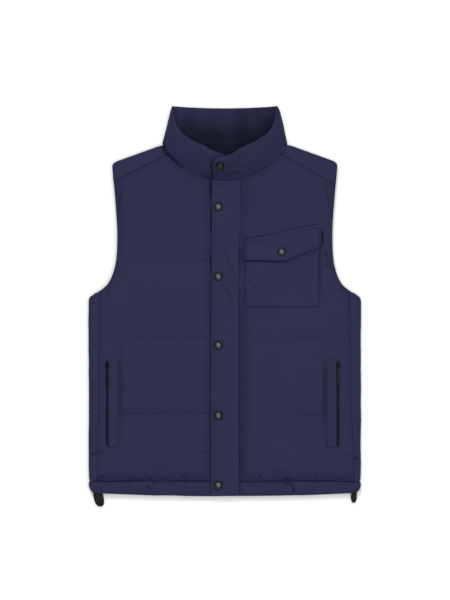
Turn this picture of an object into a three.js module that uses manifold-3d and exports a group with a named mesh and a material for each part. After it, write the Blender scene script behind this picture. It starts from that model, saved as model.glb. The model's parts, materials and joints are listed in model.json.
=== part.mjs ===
// Quilted body-warmer vest with a stand collar, laid flat on its back.
// Millimetres, +Z up. X runs to the wearer's left, Y from the hem to the collar.
// Heights are real ones: the back lies on the surface and the fronts lie on the back.
import * as THREE from 'three';
import { mergeVertices } from 'three/addons/utils/BufferGeometryUtils.js';
import Module from 'manifold-3d';

const wasm = await Module();
wasm.setup();

// Driving dimensions of the body
const HALF_WIDTH = 272.5; // centre to the side fold, chest laid flat
const MEET = 12; // height of the plane where the fronts meet the back
const GAP = 0.3; // clearance between pieces that touch or are sewn together
const FOLD_RADIUS = 12; // outer radius of a side or shoulder fold
const FOLD_WALL = 10; // padded thickness at a fold
const FULL_LOFT = 16; // thickness of a front in the middle of a channel
const HEM_SEAM = 30; // Y of the seam above the hem band
const HEM_LOFT = 11;
const HEM_BOW = { rise: 5.3, at: 250 }; // how far the hem rises from the centre to that X
const HEM_CORNER = 10; // corner radius of the hem at the side folds
const BACK_SEAM = 236; // X of the seam between side panel and back
const YOKE_BACK_SEAM = 590; // Y of the yoke seam across the back
const BACK_NECK = 700; // Y of the back neck seam
const UNDERLAP = 8; // how far the right front runs past the centre
const UNDERLAP_LOFT = 4; // thickness of the right front under the placket
const PLACKET_LEFT = -28;
const PLACKET_RIGHT = 30;
const PLACKET_LOFT = 5.2;
const CHANNEL_LINES = [166, 316, 472]; // Y of the sewn channel lines on the fronts
const NECK_FAN = 505; // above this Y the rows of a front spread round the neck
const EDGE_ROLL = 12; // how far in from a free edge the wall reaches its full height
const HEM_PINCH = { depth: 0.4, reach: 22 }; // how the hem seam draws in the side folds
// Yoke: half widths of the flat slab and of the folds' back ends, dip of the back neck, and
// how the neck seam draws in the shoulder folds
const YOKE = { slabHalf: 119, wrapEnd: 116, neckDip: 2.4, pinch: 0.12, pinchReach: 10 };

// Curves of the cut, on the wearer's left; the right is their mirror image
const ARMHOLE = spline([
  [272.5, 401], [250, 411], [231, 431], [218.5, 468],
  [215.5, 520], [217.8, 572], [222.5, 628], [226, 668.6],
]);
const UNDERARM = { top: 401, seam: 410.6 }; // Y of the side fold's top and of the side seam's top
const SIDE_SEAM = spline([[256, 0], [252.5, 250], [250.5, 410.6]]);
const NECK = spline([
  [-8, 631.2], [0, 631], [32, 634], [60, 644], [88, 660], [103, 674], [115.6, 686], [123.5, 702.6],
]);
const SHOULDER_SEAM = { armhole: [222.7, 630.6], neck: [115.6, 684] };
const SHOULDER_FOLD = { armhole: [226, 668.6], neck: [124.5, 705.2] };

// Where the loft of a front is drawn down, as shares of the full loft, and how far that reaches
const CREASE = {
  channel: { depth: 0.42, reach: 42 },
  hem: { depth: 0.6, reach: 46 },
  side: { depth: 0.44, reach: 20 },
  armhole: { depth: 0.6, reach: 26 },
  neck: { depth: 0.5, reach: 26 },
  shoulder: { depth: 0.45, reach: 26 },
  placket: { depth: 0.55, reach: 34 },
  band: { depth: 0.4, reach: 14 },
};

// Pockets: side A is the wearer's right, side B the wearer's left
const HAND_POCKETS = [
  { side: -1, name: 'right', weltInner: 212.4, weltOuter: 231.6 },
  { side: 1, name: 'left', weltInner: 203, weltOuter: 223 },
];
const WELT = { bottom: 98, top: 274, seamThick: 1.8, mouthThick: 4.6 };
const ZIP = { width: 6.6, bottom: 101, top: 271, thick: 1.4 };
const SLIDER = { width: 6.6, length: 9, thick: 2.6, y: 262, ear: 1, earHeight: 3.2, earLength: 3.4 };
const PULL = { width: 3.6, neckWidth: 2.6, length: 42, thick: 1.3, barrel: 1.1, hole: 0.9 };
const POCKET = { left: 39, right: 187, bottom: 380, underFlap: 9, thick: 2.6, edgeThick: 1.3, pleat: 2.6 };
const FLAP = {
  left: 36.4, right: 193, point: 120,
  topLeft: 514, topRight: 547, bottomLeft: 472, bottomPoint: 470.6, bottomRight: 503.5,
  thick: 3, edgeThick: 1.8,
};
const POCKET_AREA = { left: 30, right: 205, fade: 16 }; // no channel line shows behind the pocket

const SNAP = { radius: 8.5, height: 3.5, sides: 16 };
const PLACKET_SNAPS = { x: -13, ys: [22.6, 162, 302.6, 440, 579.4] };
const COLLAR_SNAP = { x: -9.6, y: 660.6 };
const FLAP_SNAP = { x: 113.6, y: 489.4 };

// Cord toggles at the hem, one seen on its broad side and one on its narrow side
const TOGGLES = [
  { name: 'drawcord_toggle_right', x: -254.6, width: 20, length: 25, lean: 5 },
  { name: 'drawcord_toggle_left', x: 259, width: 12, length: 18, lean: -1 },
];
const TOGGLE_HEIGHT = 11.4;

// Stand collar: one row for each section, from the end under the placket, round the back, to the
// end on top. b is the middle of the wall at the neck seam, t at the top edge, thick its loft.
const COLLAR_SECTIONS = [
  { b: [9, 633.6, 15.9], t: [9, 675, 33], thick: 5.4 },
  { b: [-12, 633.8, 15.9], t: [-8, 680, 35.5], thick: 5.8 },
  { b: [-31.2, 636.6, 16.6], t: [-24.2, 691, 38], thick: 8 },
  { b: [-58.7, 645.4, 17.6], t: [-45.8, 704, 37.5], thick: 10 },
  { b: [-86.4, 661, 17.8], t: [-68.8, 715.5, 34.5], thick: 10.4 },
  { b: [-101.5, 674.8, 17.8], t: [-84.7, 727, 31], thick: 10 },
  { b: [-113, 687, 17.6], t: [-96.5, 744, 27], thick: 9 },
  { b: [-119, 700.5, 16.6], t: [-102.6, 768, 21.5], thick: 8.2 },
  { b: [-120.8, 706.6, 11.6], t: [-105.4, 779.8, 13], thick: 8 },
  { b: [-115.5, 706, 6.4], t: [-100.4, 781, 6.2], thick: 8.8 },
  { b: [-93.7, 704.4, 6], t: [-83.4, 779.6, 6], thick: 11 },
  { b: [-46.4, 702, 6], t: [-40.8, 777.6, 6], thick: 12 },
  { b: [0, 701, 6], t: [0, 777, 6], thick: 12 },
  { b: [46.4, 702, 6], t: [40.8, 777.6, 6], thick: 12 },
  { b: [93.7, 704.4, 6], t: [83.4, 779.6, 6], thick: 11 },
  { b: [115.5, 706, 6.4], t: [100.4, 781, 6.2], thick: 8.8 },
  { b: [120.8, 706.6, 11.6], t: [105.4, 779.8, 13], thick: 8 },
  { b: [119, 700.5, 16.6], t: [102.6, 768, 21.5], thick: 8.2 },
  { b: [113, 687, 17.6], t: [96.5, 744, 27], thick: 9 },
  { b: [101.5, 674.8, 18], t: [84.7, 727, 31.5], thick: 10 },
  { b: [86.4, 661, 18.6], t: [68.8, 715.5, 36], thick: 10.4 },
  { b: [58.7, 645.4, 19.8], t: [45.8, 704, 40.5], thick: 9.6 },
  { b: [31.2, 636.6, 22], t: [24.2, 691.5, 44.5], thick: 8 },
  { b: [6, 633.8, 23.6], t: [3, 680.6, 44.8], thick: 6.2 },
  { b: [-22.5, 634, 23.6], t: [-19.7, 677, 42.4], thick: 5.6 },
];
const COLLAR_RISE = 2.5; // how far the collar bows outwards between its edges
const COLLAR_EDGE = [
  { at: 0, share: 0.7 }, { at: 0.07, share: 0.94 }, { at: 0.3, share: 1 }, { at: 0.62, share: 1 },
  { at: 0.86, share: 0.96 }, { at: 0.95, share: 0.78 }, { at: 1, share: 0.42 },
];

// Materials
const NAVY = new THREE.Color(47 / 255, 49 / 255, 75 / 255);
const material = {
  cloth: standard(NAVY, 0.72, 0),
  zip: standard(new THREE.Color(0x14141c), 0.6, 0),
  metal: standard(new THREE.Color(0x3a3836), 0.35, 0.9),
  plastic: standard(new THREE.Color(0x1b1719), 0.5, 0),
};

function standard(colour, roughness, metalness) {
  return new THREE.MeshStandardMaterial({ color: colour, roughness, metalness });
}

// A smooth polyline through a few control points
function spline(points) {
  const curve = new THREE.SplineCurve(points.map(([x, y]) => new THREE.Vector2(x, y)));
  return curve.getPoints(points.length * 8).map((p) => [p.x, p.y]);
}

// The other coordinate of a polyline where its chosen coordinate has a value, first match wins
function along(line, axis, value) {
  for (let i = 1; i < line.length; i++) {
    const [a, b] = [line[i - 1], line[i]];
    const span = b[axis] - a[axis];
    const t = (value - a[axis]) / span;
    if (t >= 0 && t <= 1) return THREE.MathUtils.lerp(a[1 - axis], b[1 - axis], t);
  }
  const end = (value - line[0][axis]) * (line.at(-1)[axis] - line[0][axis]) < 0 ? line[0] : line.at(-1);
  return end[1 - axis];
}

// Shortest distance from a point to a polyline
function distanceTo(line, x, y) {
  let best = Infinity;
  for (let i = 1; i < line.length; i++) {
    const [ax, ay] = line[i - 1];
    const [bx, by] = line[i];
    const [dx, dy] = [bx - ax, by - ay];
    const t = THREE.MathUtils.clamp(((x - ax) * dx + (y - ay) * dy) / (dx * dx + dy * dy), 0, 1);
    best = Math.min(best, Math.hypot(x - ax - t * dx, y - ay - t * dy));
  }
  return best;
}

// The point a share of the way along a polyline, by length
function pointAt(line, share) {
  const lengths = line.slice(1).map(([x, y], i) => Math.hypot(x - line[i][0], y - line[i][1]));
  let left = share * lengths.reduce((sum, l) => sum + l, 0);
  for (let i = 0; i < lengths.length; i++) {
    if (left <= lengths[i] || i === lengths.length - 1) return mix2(line[i], line[i + 1], left / lengths[i]);
    left -= lengths[i];
  }
  return line.at(-1);
}

function mix2(a, b, t) {
  return [THREE.MathUtils.lerp(a[0], b[0], t), THREE.MathUtils.lerp(a[1], b[1], t)];
}

// How far a crease draws the cloth down: 1 on the line, 0 from its reach on
function draw(distance, crease) {
  return crease.depth * Math.max(0, 1 - Math.max(0, distance) / crease.reach) ** 2.3;
}

// A free edge rolls from half the wall's height at the rim to all of it further in
function roll(distance) {
  const t = Math.min(1, Math.max(0, distance) / EDGE_ROLL);
  return 0.5 + 0.5 * Math.sqrt(1 - (1 - t) ** 2);
}

const armholeX = (y) => along(ARMHOLE, 1, y);
const armholeY = (x) => along(ARMHOLE.slice(0, ARMHOLE.length >> 1), 0, x);
const sideSeamX = (y) => along(SIDE_SEAM, 1, y);
const neckY = (x) => along(NECK, 0, Math.abs(x));

// Y of the hem's lower edge, with its bow and its rounded corners
function hemEdge(x) {
  const a = Math.abs(x);
  const past = Math.max(0, Math.min(HEM_CORNER, a - (HALF_WIDTH - HEM_CORNER)));
  return HEM_BOW.rise * (a / HEM_BOW.at) ** 2 + HEM_CORNER - Math.sqrt(HEM_CORNER ** 2 - past ** 2);
}

// 1 where a channel line shows on the left front, 0 behind the chest pocket
function channelShows(x, line) {
  if (line !== CHANNEL_LINES[2] || x < 0) return 1;
  const inside = Math.min(x - POCKET_AREA.left, POCKET_AREA.right - x);
  return THREE.MathUtils.clamp(1 - inside / POCKET_AREA.fade, 0, 1);
}

// Thickness of a front at a point, its channels raised over a plain inside
function frontLoft(x, y) {
  const a = Math.abs(x);
  let share = 1;
  for (const line of CHANNEL_LINES) {
    share *= 1 - channelShows(x, line) * draw(Math.abs(y - line), CREASE.channel);
  }
  share *= 1 - draw(y - HEM_SEAM, CREASE.hem);
  share *= 1 - draw(distanceTo(SIDE_SEAM, a, y), CREASE.side);
  share *= 1 - draw(distanceTo(ARMHOLE, a, y), CREASE.armhole);
  share *= 1 - draw(distanceTo(NECK, a, y), CREASE.neck);
  share *= 1 - draw(distanceTo([SHOULDER_SEAM.armhole, SHOULDER_SEAM.neck], a, y), CREASE.shoulder);
  const full = FULL_LOFT * share;
  const fromPlacket = x < PLACKET_RIGHT - 1 ? PLACKET_LEFT + 2 - x : x - PLACKET_RIGHT;
  const drawn = full * (1 - draw(fromPlacket, CREASE.placket));
  return x > PLACKET_LEFT - 0.5 && x < PLACKET_RIGHT - 1 ? UNDERLAP_LOFT : Math.max(drawn, UNDERLAP_LOFT);
}

const frontTop = (x, y) => MEET + GAP + frontLoft(x, y);

// Heights of a sheet's facets at a place in the plan, or nothing where the sheet doesn't reach
function facetHeight(grid, x, y) {
  for (let i = 1; i < grid.length; i++) {
    for (let j = 1; j < grid[i].length; j++) {
      const [a, b, c, d] = [grid[i - 1][j - 1], grid[i - 1][j], grid[i][j], grid[i][j - 1]];
      const z = heightIn(a, b, c, x, y) ?? heightIn(a, c, d, x, y);
      if (z !== undefined) return z;
    }
  }
  return undefined;
}

function heightIn(a, b, c, x, y) {
  const area = (b[0] - a[0]) * (c[1] - a[1]) - (b[1] - a[1]) * (c[0] - a[0]);
  const p = ((b[0] - x) * (c[1] - y) - (b[1] - y) * (c[0] - x)) / area;
  const q = ((c[0] - x) * (a[1] - y) - (c[1] - y) * (a[0] - x)) / area;
  const inside = p >= -1e-6 && q >= -1e-6 && p + q <= 1 + 1e-6;
  return inside ? p * a[2] + q * b[2] + (1 - p - q) * c[2] : undefined;
}

// Where a piece that lies on others rests: just above their highest point close by
function restingHeight(grids, x, y, reach = 0.2) {
  const around = [-1, -0.5, 0, 0.5, 1].map((share) => share * reach);
  const spots = around.flatMap((dx) => around.map((dy) => [x + dx, y + dy]));
  const heights = spots.flatMap(([px, py]) => grids.map((grid) => facetHeight(grid, px, py)));
  return Math.max(MEET, ...heights.filter((z) => z !== undefined)) + GAP;
}

// A sheet laid on others: its points start at the resting height, and the corners of each
// facet rise until the whole facet is clear of what is below
function laySheet(grids, plan) {
  const points = plan.map((row) => row.map(([x, y]) => [x, y, restingHeight(grids, x, y, 1.5)]));
  for (let pass = 0; pass < 3; pass++) {
    for (let i = 1; i < points.length; i++) {
      for (let j = 1; j < points[i].length; j++) {
        const [a, b, c, d] = [points[i - 1][j - 1], points[i - 1][j], points[i][j], points[i][j - 1]];
        liftFacet(grids, [a, b, c]);
        liftFacet(grids, [a, c, d]);
      }
    }
  }
  return points;
}

function liftFacet(grids, corners) {
  const parts = 9;
  let need = 0;
  for (let p = 0; p <= parts; p++) {
    for (let q = 0; q <= parts - p; q++) {
      const shares = [p / parts, q / parts, 1 - (p + q) / parts];
      const [x, y, z] = [0, 1, 2].map((k) => corners.reduce((sum, c, n) => sum + shares[n] * c[k], 0));
      need = Math.max(need, restingHeight(grids, x, y, 0) - z);
    }
  }
  corners.forEach((c) => { c[2] += need; });
}

// Outer faces that other pieces lie on
const face = {};

// A closed wall between an outer and an inner sheet of points, both rows of columns
function wallGeometry(outer, inner) {
  const [rows, columns] = [outer.length, outer[0].length];
  const points = [...outer.flat(), ...inner.flat()];
  const index = [];
  const at = (sheet, i, j) => sheet * rows * columns + i * columns + j;
  const quad = (a, b, c, d) => index.push(a, b, c, a, c, d);
  for (let i = 1; i < rows; i++) {
    for (let j = 1; j < columns; j++) {
      quad(at(0, i - 1, j - 1), at(0, i - 1, j), at(0, i, j), at(0, i, j - 1));
      quad(at(1, i - 1, j - 1), at(1, i, j - 1), at(1, i, j), at(1, i - 1, j));
    }
    quad(at(0, i - 1, 0), at(0, i, 0), at(1, i, 0), at(1, i - 1, 0));
    quad(at(0, i, columns - 1), at(0, i - 1, columns - 1), at(1, i - 1, columns - 1), at(1, i, columns - 1));
  }
  for (let j = 1; j < columns; j++) {
    quad(at(0, 0, j), at(0, 0, j - 1), at(1, 0, j - 1), at(1, 0, j));
    quad(at(0, rows - 1, j - 1), at(0, rows - 1, j), at(1, rows - 1, j), at(1, rows - 1, j - 1));
  }
  return outwards(points, index);
}

// A closed body lofted through rings of points
function ringGeometry(rings) {
  const sides = rings[0].length;
  const points = rings.flat();
  const index = [];
  for (let i = 1; i < rings.length; i++) {
    for (let j = 0; j < sides; j++) {
      const [a, b] = [(i - 1) * sides + j, (i - 1) * sides + ((j + 1) % sides)];
      index.push(a, b, b + sides, a, b + sides, a + sides);
    }
  }
  const last = (rings.length - 1) * sides;
  for (let j = 1; j < sides - 1; j++) index.push(0, j + 1, j, last, last + j, last + j + 1);
  return outwards(points, index);
}

// A geometry whose faces point out, whichever way its points were listed
function outwards(points, index) {
  let volume = 0;
  for (let i = 0; i < index.length; i += 3) {
    const [a, b, c] = [points[index[i]], points[index[i + 1]], points[index[i + 2]]];
    volume += a[0] * (b[1] * c[2] - b[2] * c[1]) + a[1] * (b[2] * c[0] - b[0] * c[2]);
    volume += a[2] * (b[0] * c[1] - b[1] * c[0]);
  }
  if (volume < 0) {
    for (let i = 0; i < index.length; i += 3) [index[i], index[i + 1]] = [index[i + 1], index[i]];
  }
  const geometry = new THREE.BufferGeometry();
  geometry.setAttribute('position', new THREE.Float32BufferAttribute(points.flat(), 3));
  geometry.setIndex(index);
  return geometry;
}

// Between three.js geometry and a manifold solid, for joins and cuts
function solidOf(geometry) {
  const bare = geometry.clone();
  bare.deleteAttribute('normal');
  bare.deleteAttribute('uv');
  const merged = mergeVertices(bare, 1e-4);
  return new wasm.Manifold(new wasm.Mesh({
    numProp: 3,
    vertProperties: new Float32Array(merged.attributes.position.array),
    triVerts: new Uint32Array(merged.index.array),
  }));
}

function geometryOf(solid) {
  const mesh = solid.getMesh();
  const geometry = new THREE.BufferGeometry();
  geometry.setAttribute('position', new THREE.BufferAttribute(mesh.vertProperties, 3));
  geometry.setIndex(new THREE.BufferAttribute(mesh.triVerts, 1));
  return geometry;
}

// A sheet of points from a function of two shares, each taken from a list
function sheet(rows, columns, point) {
  return rows.map((v) => columns.map((u) => point(u, v)));
}

const steps = (n) => Array.from({ length: n + 1 }, (_, i) => i / n);
const EDGED = [0, 0.03, 0.1, 0.22, 0.36, 0.5, 0.64, 0.78, 0.9, 0.97, 1];
const STRIP = [0, 0.1, 0.35, 0.65, 0.9, 1];

const vest = new THREE.Group();

function add(name, geometry, look = material.cloth) {
  const mesh = new THREE.Mesh(geometry, look);
  mesh.name = name;
  vest.add(mesh);
  return mesh;
}

// Distances from a channel line at which a front has a row of points
const LINE_ROWS = [-27, -9, -2.5, 2.5, 9, 27];

// Rows of a front, each from its outer edge to its inner edge, on the wearer's left
function frontRows(centreFront) {
  const rows = [];
  const nearLine = CHANNEL_LINES.flatMap((y) => LINE_ROWS.map((d) => y + d));
  const level = [HEM_SEAM + GAP, 38, 54, 84, 118, 240, ...nearLine, 384, UNDERARM.seam, 425, NECK_FAN];
  const sorted = [...new Set(level)].sort((a, b) => a - b);
  for (const y of sorted) {
    rows.push({ outer: [y < UNDERARM.seam ? sideSeamX(y) - GAP : armholeX(y), y], inner: [centreFront, y] });
  }
  const neck = NECK.filter(([x, y]) => x > Math.max(centreFront, 2) && y < SHOULDER_SEAM.neck[1]);
  const turn = [centreFront, neckY(centreFront)];
  const neckline = [turn, ...neck, SHOULDER_SEAM.neck].map(([x, y]) => [x, y - GAP]);
  const inner = [[centreFront, NECK_FAN], ...neckline];
  const corner = (neckline[0][1] - NECK_FAN) / lengthOf(inner);
  for (const q of [0.2, corner, 0.6, 0.74, 0.87, 0.95, 1]) {
    const y = THREE.MathUtils.lerp(NECK_FAN, SHOULDER_SEAM.armhole[1] - GAP, q);
    rows.push({ outer: [armholeX(y), y], inner: pointAt(inner, q) });
  }
  return rows;
}

function lengthOf(line) {
  return line.slice(1).reduce((sum, [x, y], i) => sum + Math.hypot(x - line[i][0], y - line[i][1]), 0);
}

// One front: quilted wall from the side seam and armhole to the front edge and neck
function makeFront(name, side, centreFront) {
  const rows = frontRows(centreFront);
  const underlaps = centreFront < 0;
  const plan = rows.map((row) => columnShares(row, underlaps).map((u) => mix2(row.outer, row.inner, u)));
  const top = plan.map((row) => row.map(([a, y]) => [side * a, y, frontTop(side * a, y)]));
  const base = plan.map((row) => row.map(([a, y]) => [side * a, y, MEET + GAP]));
  face[name] = top;
  add(name, wallGeometry(top, base));
}

// Shares of a row's length where it has points. On the front that runs under the placket, rows
// have points at both ends of their flat stretch there, and above it they gather at the neck.
function columnShares({ outer, inner }, underlaps) {
  if (!underlaps) return EDGED;
  const total = outer[0] - inner[0];
  const edge = -PLACKET_LEFT;
  const easing = THREE.MathUtils.clamp((inner[0] - 20) / 60, 0, 1);
  const close = [4, 2.5, 1.2, 0].map((d) => d / total);
  const open = [0.22, 0.1, 0.03, 0];
  const above = open.map((d, i) => 1 - THREE.MathUtils.lerp(close[i], d, easing));
  const flat = [edge + 4, edge + GAP, UNDERLAP + 2, inner[0]].map((a) => (outer[0] - a) / total);
  return [0, 0.03, 0.1, 0.26, 0.42, 0.58, 0.7, ...(inner[0] > 0 ? above : flat)];
}

// The wall round a fold: outer and inner point for a share t from the front seam to the back.
// reach is the fold's outermost place, front and back are where its flat stretches end.
function foldSection(t, reach, front, back, squeeze = 1) {
  const turn = THREE.MathUtils.clamp((t - 0.2) / 0.6, 0, 1);
  const angle = Math.PI * (0.5 - turn);
  const flat = reach - FOLD_RADIUS;
  const before = Math.min(1, t / 0.2);
  const after = Math.max(0, (t - 0.8) / 0.2);
  const outX = THREE.MathUtils.lerp(front, flat, before) + FOLD_RADIUS * Math.cos(angle) * squeeze;
  const slit = reach - FOLD_WALL;
  const inX = THREE.MathUtils.lerp(front, slit, before) + GAP * Math.cos(angle);
  const half = FOLD_RADIUS * Math.sin(angle) * squeeze;
  return {
    outer: [THREE.MathUtils.lerp(outX, back, after), MEET + half],
    inner: [THREE.MathUtils.lerp(inX, back, after), MEET + GAP * Math.sin(angle)],
  };
}

const FOLD_STEPS = [0, 0.1, 0.2, 0.275, 0.35, 0.425, 0.5, 0.575, 0.65, 0.725, 0.8, 0.9, 1];

// Share of the fold's height left at the front seam, where the stitching draws it in
const seamDip = (t) => 1 - 0.26 * Math.max(0, 1 - t / 0.2);

// Side panel: from the front seam round the side fold to the back, under the armhole
function makeSidePanel(name, side) {
  const outer = [];
  const inner = [];
  for (const v of [0, 0.02, 0.07, 0.15, 0.3, 0.5, 0.7, 0.88, 0.96, 0.985, 1]) {
    const rowY = THREE.MathUtils.lerp(HEM_SEAM + GAP, UNDERARM.top, v);
    const points = FOLD_STEPS.map((t) => {
      const plain = foldSection(t, HALF_WIDTH, sideSeamX(rowY) + GAP, BACK_SEAM + GAP);
      const top = armholeY(Math.min(plain.outer[0], HALF_WIDTH));
      const y = THREE.MathUtils.lerp(HEM_SEAM + GAP, top, v);
      const near = Math.max(0, 1 - (y - HEM_SEAM) / HEM_PINCH.reach);
      const pinch = 1 - (t < 0.7 ? HEM_PINCH.depth * near ** 2 : 0);
      const squeeze = roll(top - y) * pinch * seamDip(t);
      const section = foldSection(t, HALF_WIDTH, sideSeamX(rowY) + GAP, BACK_SEAM + GAP, squeeze);
      return foldPoints(section, side, y);
    });
    outer.push(points.map((p) => p.outer));
    inner.push(points.map((p) => p.inner));
  }
  add(name, wallGeometry(outer, inner));
}

// A fold's section as points at a Y
function foldPoints({ outer, inner }, side, y, z = outer[1]) {
  return { outer: [side * outer[0], y, z], inner: [side * inner[0], y, inner[1]] };
}

// Back panel: flat underneath, its armhole edges rolled up from the surface
function makeBack() {
  const seamTop = armholeY(BACK_SEAM); // Y where the back seam runs out at the armhole
  const ys = [...spread(HEM_SEAM + GAP, seamTop - 30, 3), ...spread(seamTop, YOKE_BACK_SEAM - GAP, 7)];
  const outline = (y) => (y <= seamTop ? BACK_SEAM : armholeX(y)) - GAP;
  const half = [0, 0.006, 0.02, 0.05, 0.14, 0.28, 0.42];
  const shares = [...half, 0.5, ...half.map((s) => 1 - s).reverse()];
  const place = (u, y) => [outline(y) * (2 * u - 1), y];
  const under = sheet(ys, shares, (u, y) => {
    const [x] = place(u, y);
    const rim = y < seamTop ? Infinity : distanceTo(ARMHOLE, Math.abs(x), y);
    return [x, y, MEET - MEET * roll(rim)];
  });
  const top = sheet(ys, shares, (u, y) => [...place(u, y), MEET - GAP]);
  add('back_panel', wallGeometry(top, under));
}

// Yoke: from the forward shoulder seams over the shoulder folds to the seam across the back
function makeYoke() {
  const sides = [-1, 1].map((side) => solidOf(shoulderWrap(side)));
  const columns = steps(8);
  const spot = (u, v) => {
    const x = THREE.MathUtils.lerp(-YOKE.slabHalf, YOKE.slabHalf, u);
    const neck = BACK_NECK - GAP + YOKE.neckDip * (x / YOKE.slabHalf) ** 2;
    return [x, THREE.MathUtils.lerp(YOKE_BACK_SEAM + GAP, neck, v)];
  };
  const top = sheet([0, 0.5, 0.94, 1], columns, (u, v) => [...spot(u, v), MEET - GAP]);
  const under = sheet([0, 0.5, 0.94, 1], columns, (u, v) => [...spot(u, v), 0]);
  const slab = solidOf(wallGeometry(top, under));
  add('yoke', geometryOf(slab.add(sides[0]).add(sides[1])));
}

// One shoulder of the yoke: front strip, fold and the flat stretch behind
function shoulderWrap(side) {
  const outer = [];
  const inner = [];
  const [fold, seam] = [SHOULDER_FOLD, SHOULDER_SEAM];
  const run = [fold.neck[0] - fold.armhole[0], fold.neck[1] - fold.armhole[1]];
  const size = Math.hypot(...run);
  const normal = [run[1] / size, -run[0] / size];
  for (const u of [0, 0.03, 0.09, 0.2, 0.4, 0.6, 0.8, 0.92, 0.97, 1]) {
    const crest = mix2(fold.armhole, fold.neck, u);
    const front = mix2(seam.armhole, seam.neck, u);
    const depth = (crest[0] - front[0]) * normal[0] + (crest[1] - front[1]) * normal[1] - GAP;
    const backX = THREE.MathUtils.lerp(armholeX(YOKE_BACK_SEAM) - GAP, YOKE.wrapEnd, u);
    const fromNeck = Math.min(1, (1 - u) * size / YOKE.pinchReach);
    const squeeze = roll(u * size) * THREE.MathUtils.lerp(1 - YOKE.pinch, 1, fromNeck);
    const points = FOLD_STEPS.map((t) => {
      const section = foldSection(t, 0, -depth, -depth, squeeze * seamDip(t));
      const shift = (s) => {
        if (t > 0.8) {
          const start = [crest[0] - FOLD_RADIUS * normal[0], crest[1] - FOLD_RADIUS * normal[1]];
          return mix2(start, [backX, YOKE_BACK_SEAM + GAP], (t - 0.8) / 0.2);
        }
        const slide = THREE.MathUtils.clamp(-s / depth, 0, 1);
        const foot = [crest[0] + s * normal[0], crest[1] + s * normal[1]];
        const wander = [front[0] + normal[0] * depth - crest[0], front[1] + normal[1] * depth - crest[1]];
        return [foot[0] + wander[0] * slide, foot[1] + wander[1] * slide];
      };
      const [ox, oy] = shift(section.outer[0]);
      const [ix, iy] = shift(section.inner[0]);
      const low = t >= 0.8 ? MEET - FOLD_RADIUS * roll(u * size) : section.outer[1];
      return { outer: [side * ox, oy, low], inner: [side * ix, iy, section.inner[1]] };
    });
    outer.push(points.map((p) => p.outer));
    inner.push(points.map((p) => p.inner));
  }
  return wallGeometry(outer, inner);
}

// A front hem band: a stuffed channel from the side to the placket
function makeFrontHem(name, side, inner) {
  const outerX = sideSeamX(0) - GAP;
  const columns = columnShares({ outer: [outerX, 0], inner: [inner, 0] }, inner < 0);
  const place = (u, v) => {
    const a = THREE.MathUtils.lerp(outerX, inner, u);
    return [side * a, THREE.MathUtils.lerp(hemEdge(a), HEM_SEAM - GAP, v)];
  };
  const top = sheet(STRIP, columns, (u, v) => {
    const [x, y] = place(u, v);
    return [x, y, MEET + GAP + hemLoft(x, v)];
  });
  const base = sheet(STRIP, columns, (u, v) => [...place(u, v), MEET + GAP]);
  face[name] = top;
  add(name, wallGeometry(top, base));
}

// Thickness of the hem band: v is 0 at the lower edge and 1 at the seam
function hemLoft(x, v) {
  const round = bulge(v, 0.42);
  if (x > PLACKET_LEFT - 0.5 && x < PLACKET_RIGHT - 1) return UNDERLAP_LOFT;
  const near = x < 0 ? PLACKET_LEFT - x : x - PLACKET_RIGHT;
  return Math.max(UNDERLAP_LOFT, HEM_LOFT * round * (1 - draw(near, CREASE.band)));
}

// A stuffed tube's height across it, from a share at its edges to 1 in the middle
function bulge(v, edge) {
  return THREE.MathUtils.lerp(edge, 1, Math.sqrt(Math.max(0, 1 - (2 * v - 1) ** 2)));
}

// The back hem band, which runs round both side folds to the front
function makeBackHem() {
  const half = FOLD_STEPS.map((t) => ({ side: -1, t }));
  const middle = [-170, -100, -34, 34, 100, 170].map((x) => ({ x }));
  const path = [...half, ...middle, ...half.map(({ t }) => ({ side: 1, t })).reverse()];
  const outer = [];
  const inner = [];
  for (const v of STRIP) {
    const points = path.map(({ side, t, x }) => {
      const place = (a) => THREE.MathUtils.lerp(hemEdge(a), HEM_SEAM - GAP, v);
      const low = v === 0 ? 3.5 : 0;
      if (x !== undefined) return { outer: [x, place(x), low], inner: [x, place(x), MEET - GAP] };
      const plain = foldSection(t, HALF_WIDTH, sideSeamX(0) + GAP, BACK_SEAM);
      const y = place(plain.outer[0]);
      const section = foldSection(t, HALF_WIDTH, sideSeamX(0) + GAP, BACK_SEAM, bulge(v, 0.5) * seamDip(t));
      const z = t > 0.75 ? low : Math.max(low, section.outer[1]);
      return foldPoints(section, side, y, z);
    });
    outer.push(points.map((p) => p.outer));
    inner.push(points.map((p) => p.inner));
  }
  add('hem_band_back', wallGeometry(outer, inner));
}

// Placket: the snap strip on the left front, lying over the right front's edge
function makePlacket() {
  const xs = [PLACKET_LEFT, -26, -20, -5, UNDERLAP + 0.2, 13, 20, 27, PLACKET_RIGHT];
  const onLines = CHANNEL_LINES.map((y) => y / neckY(0));
  const rows = [0, 0.006, 0.04, 0.15, 0.38, 0.62, 0.86, 0.99, 1, ...onLines].sort((a, b) => a - b);
  const place = (x, v) => [x, THREE.MathUtils.lerp(hemEdge(x) + 0.2, neckY(x) - GAP, v)];
  const top = sheet(rows, xs, (x, v) => [...place(x, v), placketTop(x) - (v === 0 || v === 1 ? 1.4 : 0)]);
  const base = laySheet([face.front_right, face.hem_band_right], sheet(rows, xs, place));
  add('placket', wallGeometry(top, base));
}

const LAP = MEET + 2 * GAP + UNDERLAP_LOFT; // where the placket lies on the right front
const placketTop = (x) => {
  const rounded = x < -26 ? 1.6 * (1 - (x - PLACKET_LEFT) / 2) : 0;
  return LAP + PLACKET_LOFT - rounded - 2.4 * THREE.MathUtils.smoothstep(x, 12, PLACKET_RIGHT);
};

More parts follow.
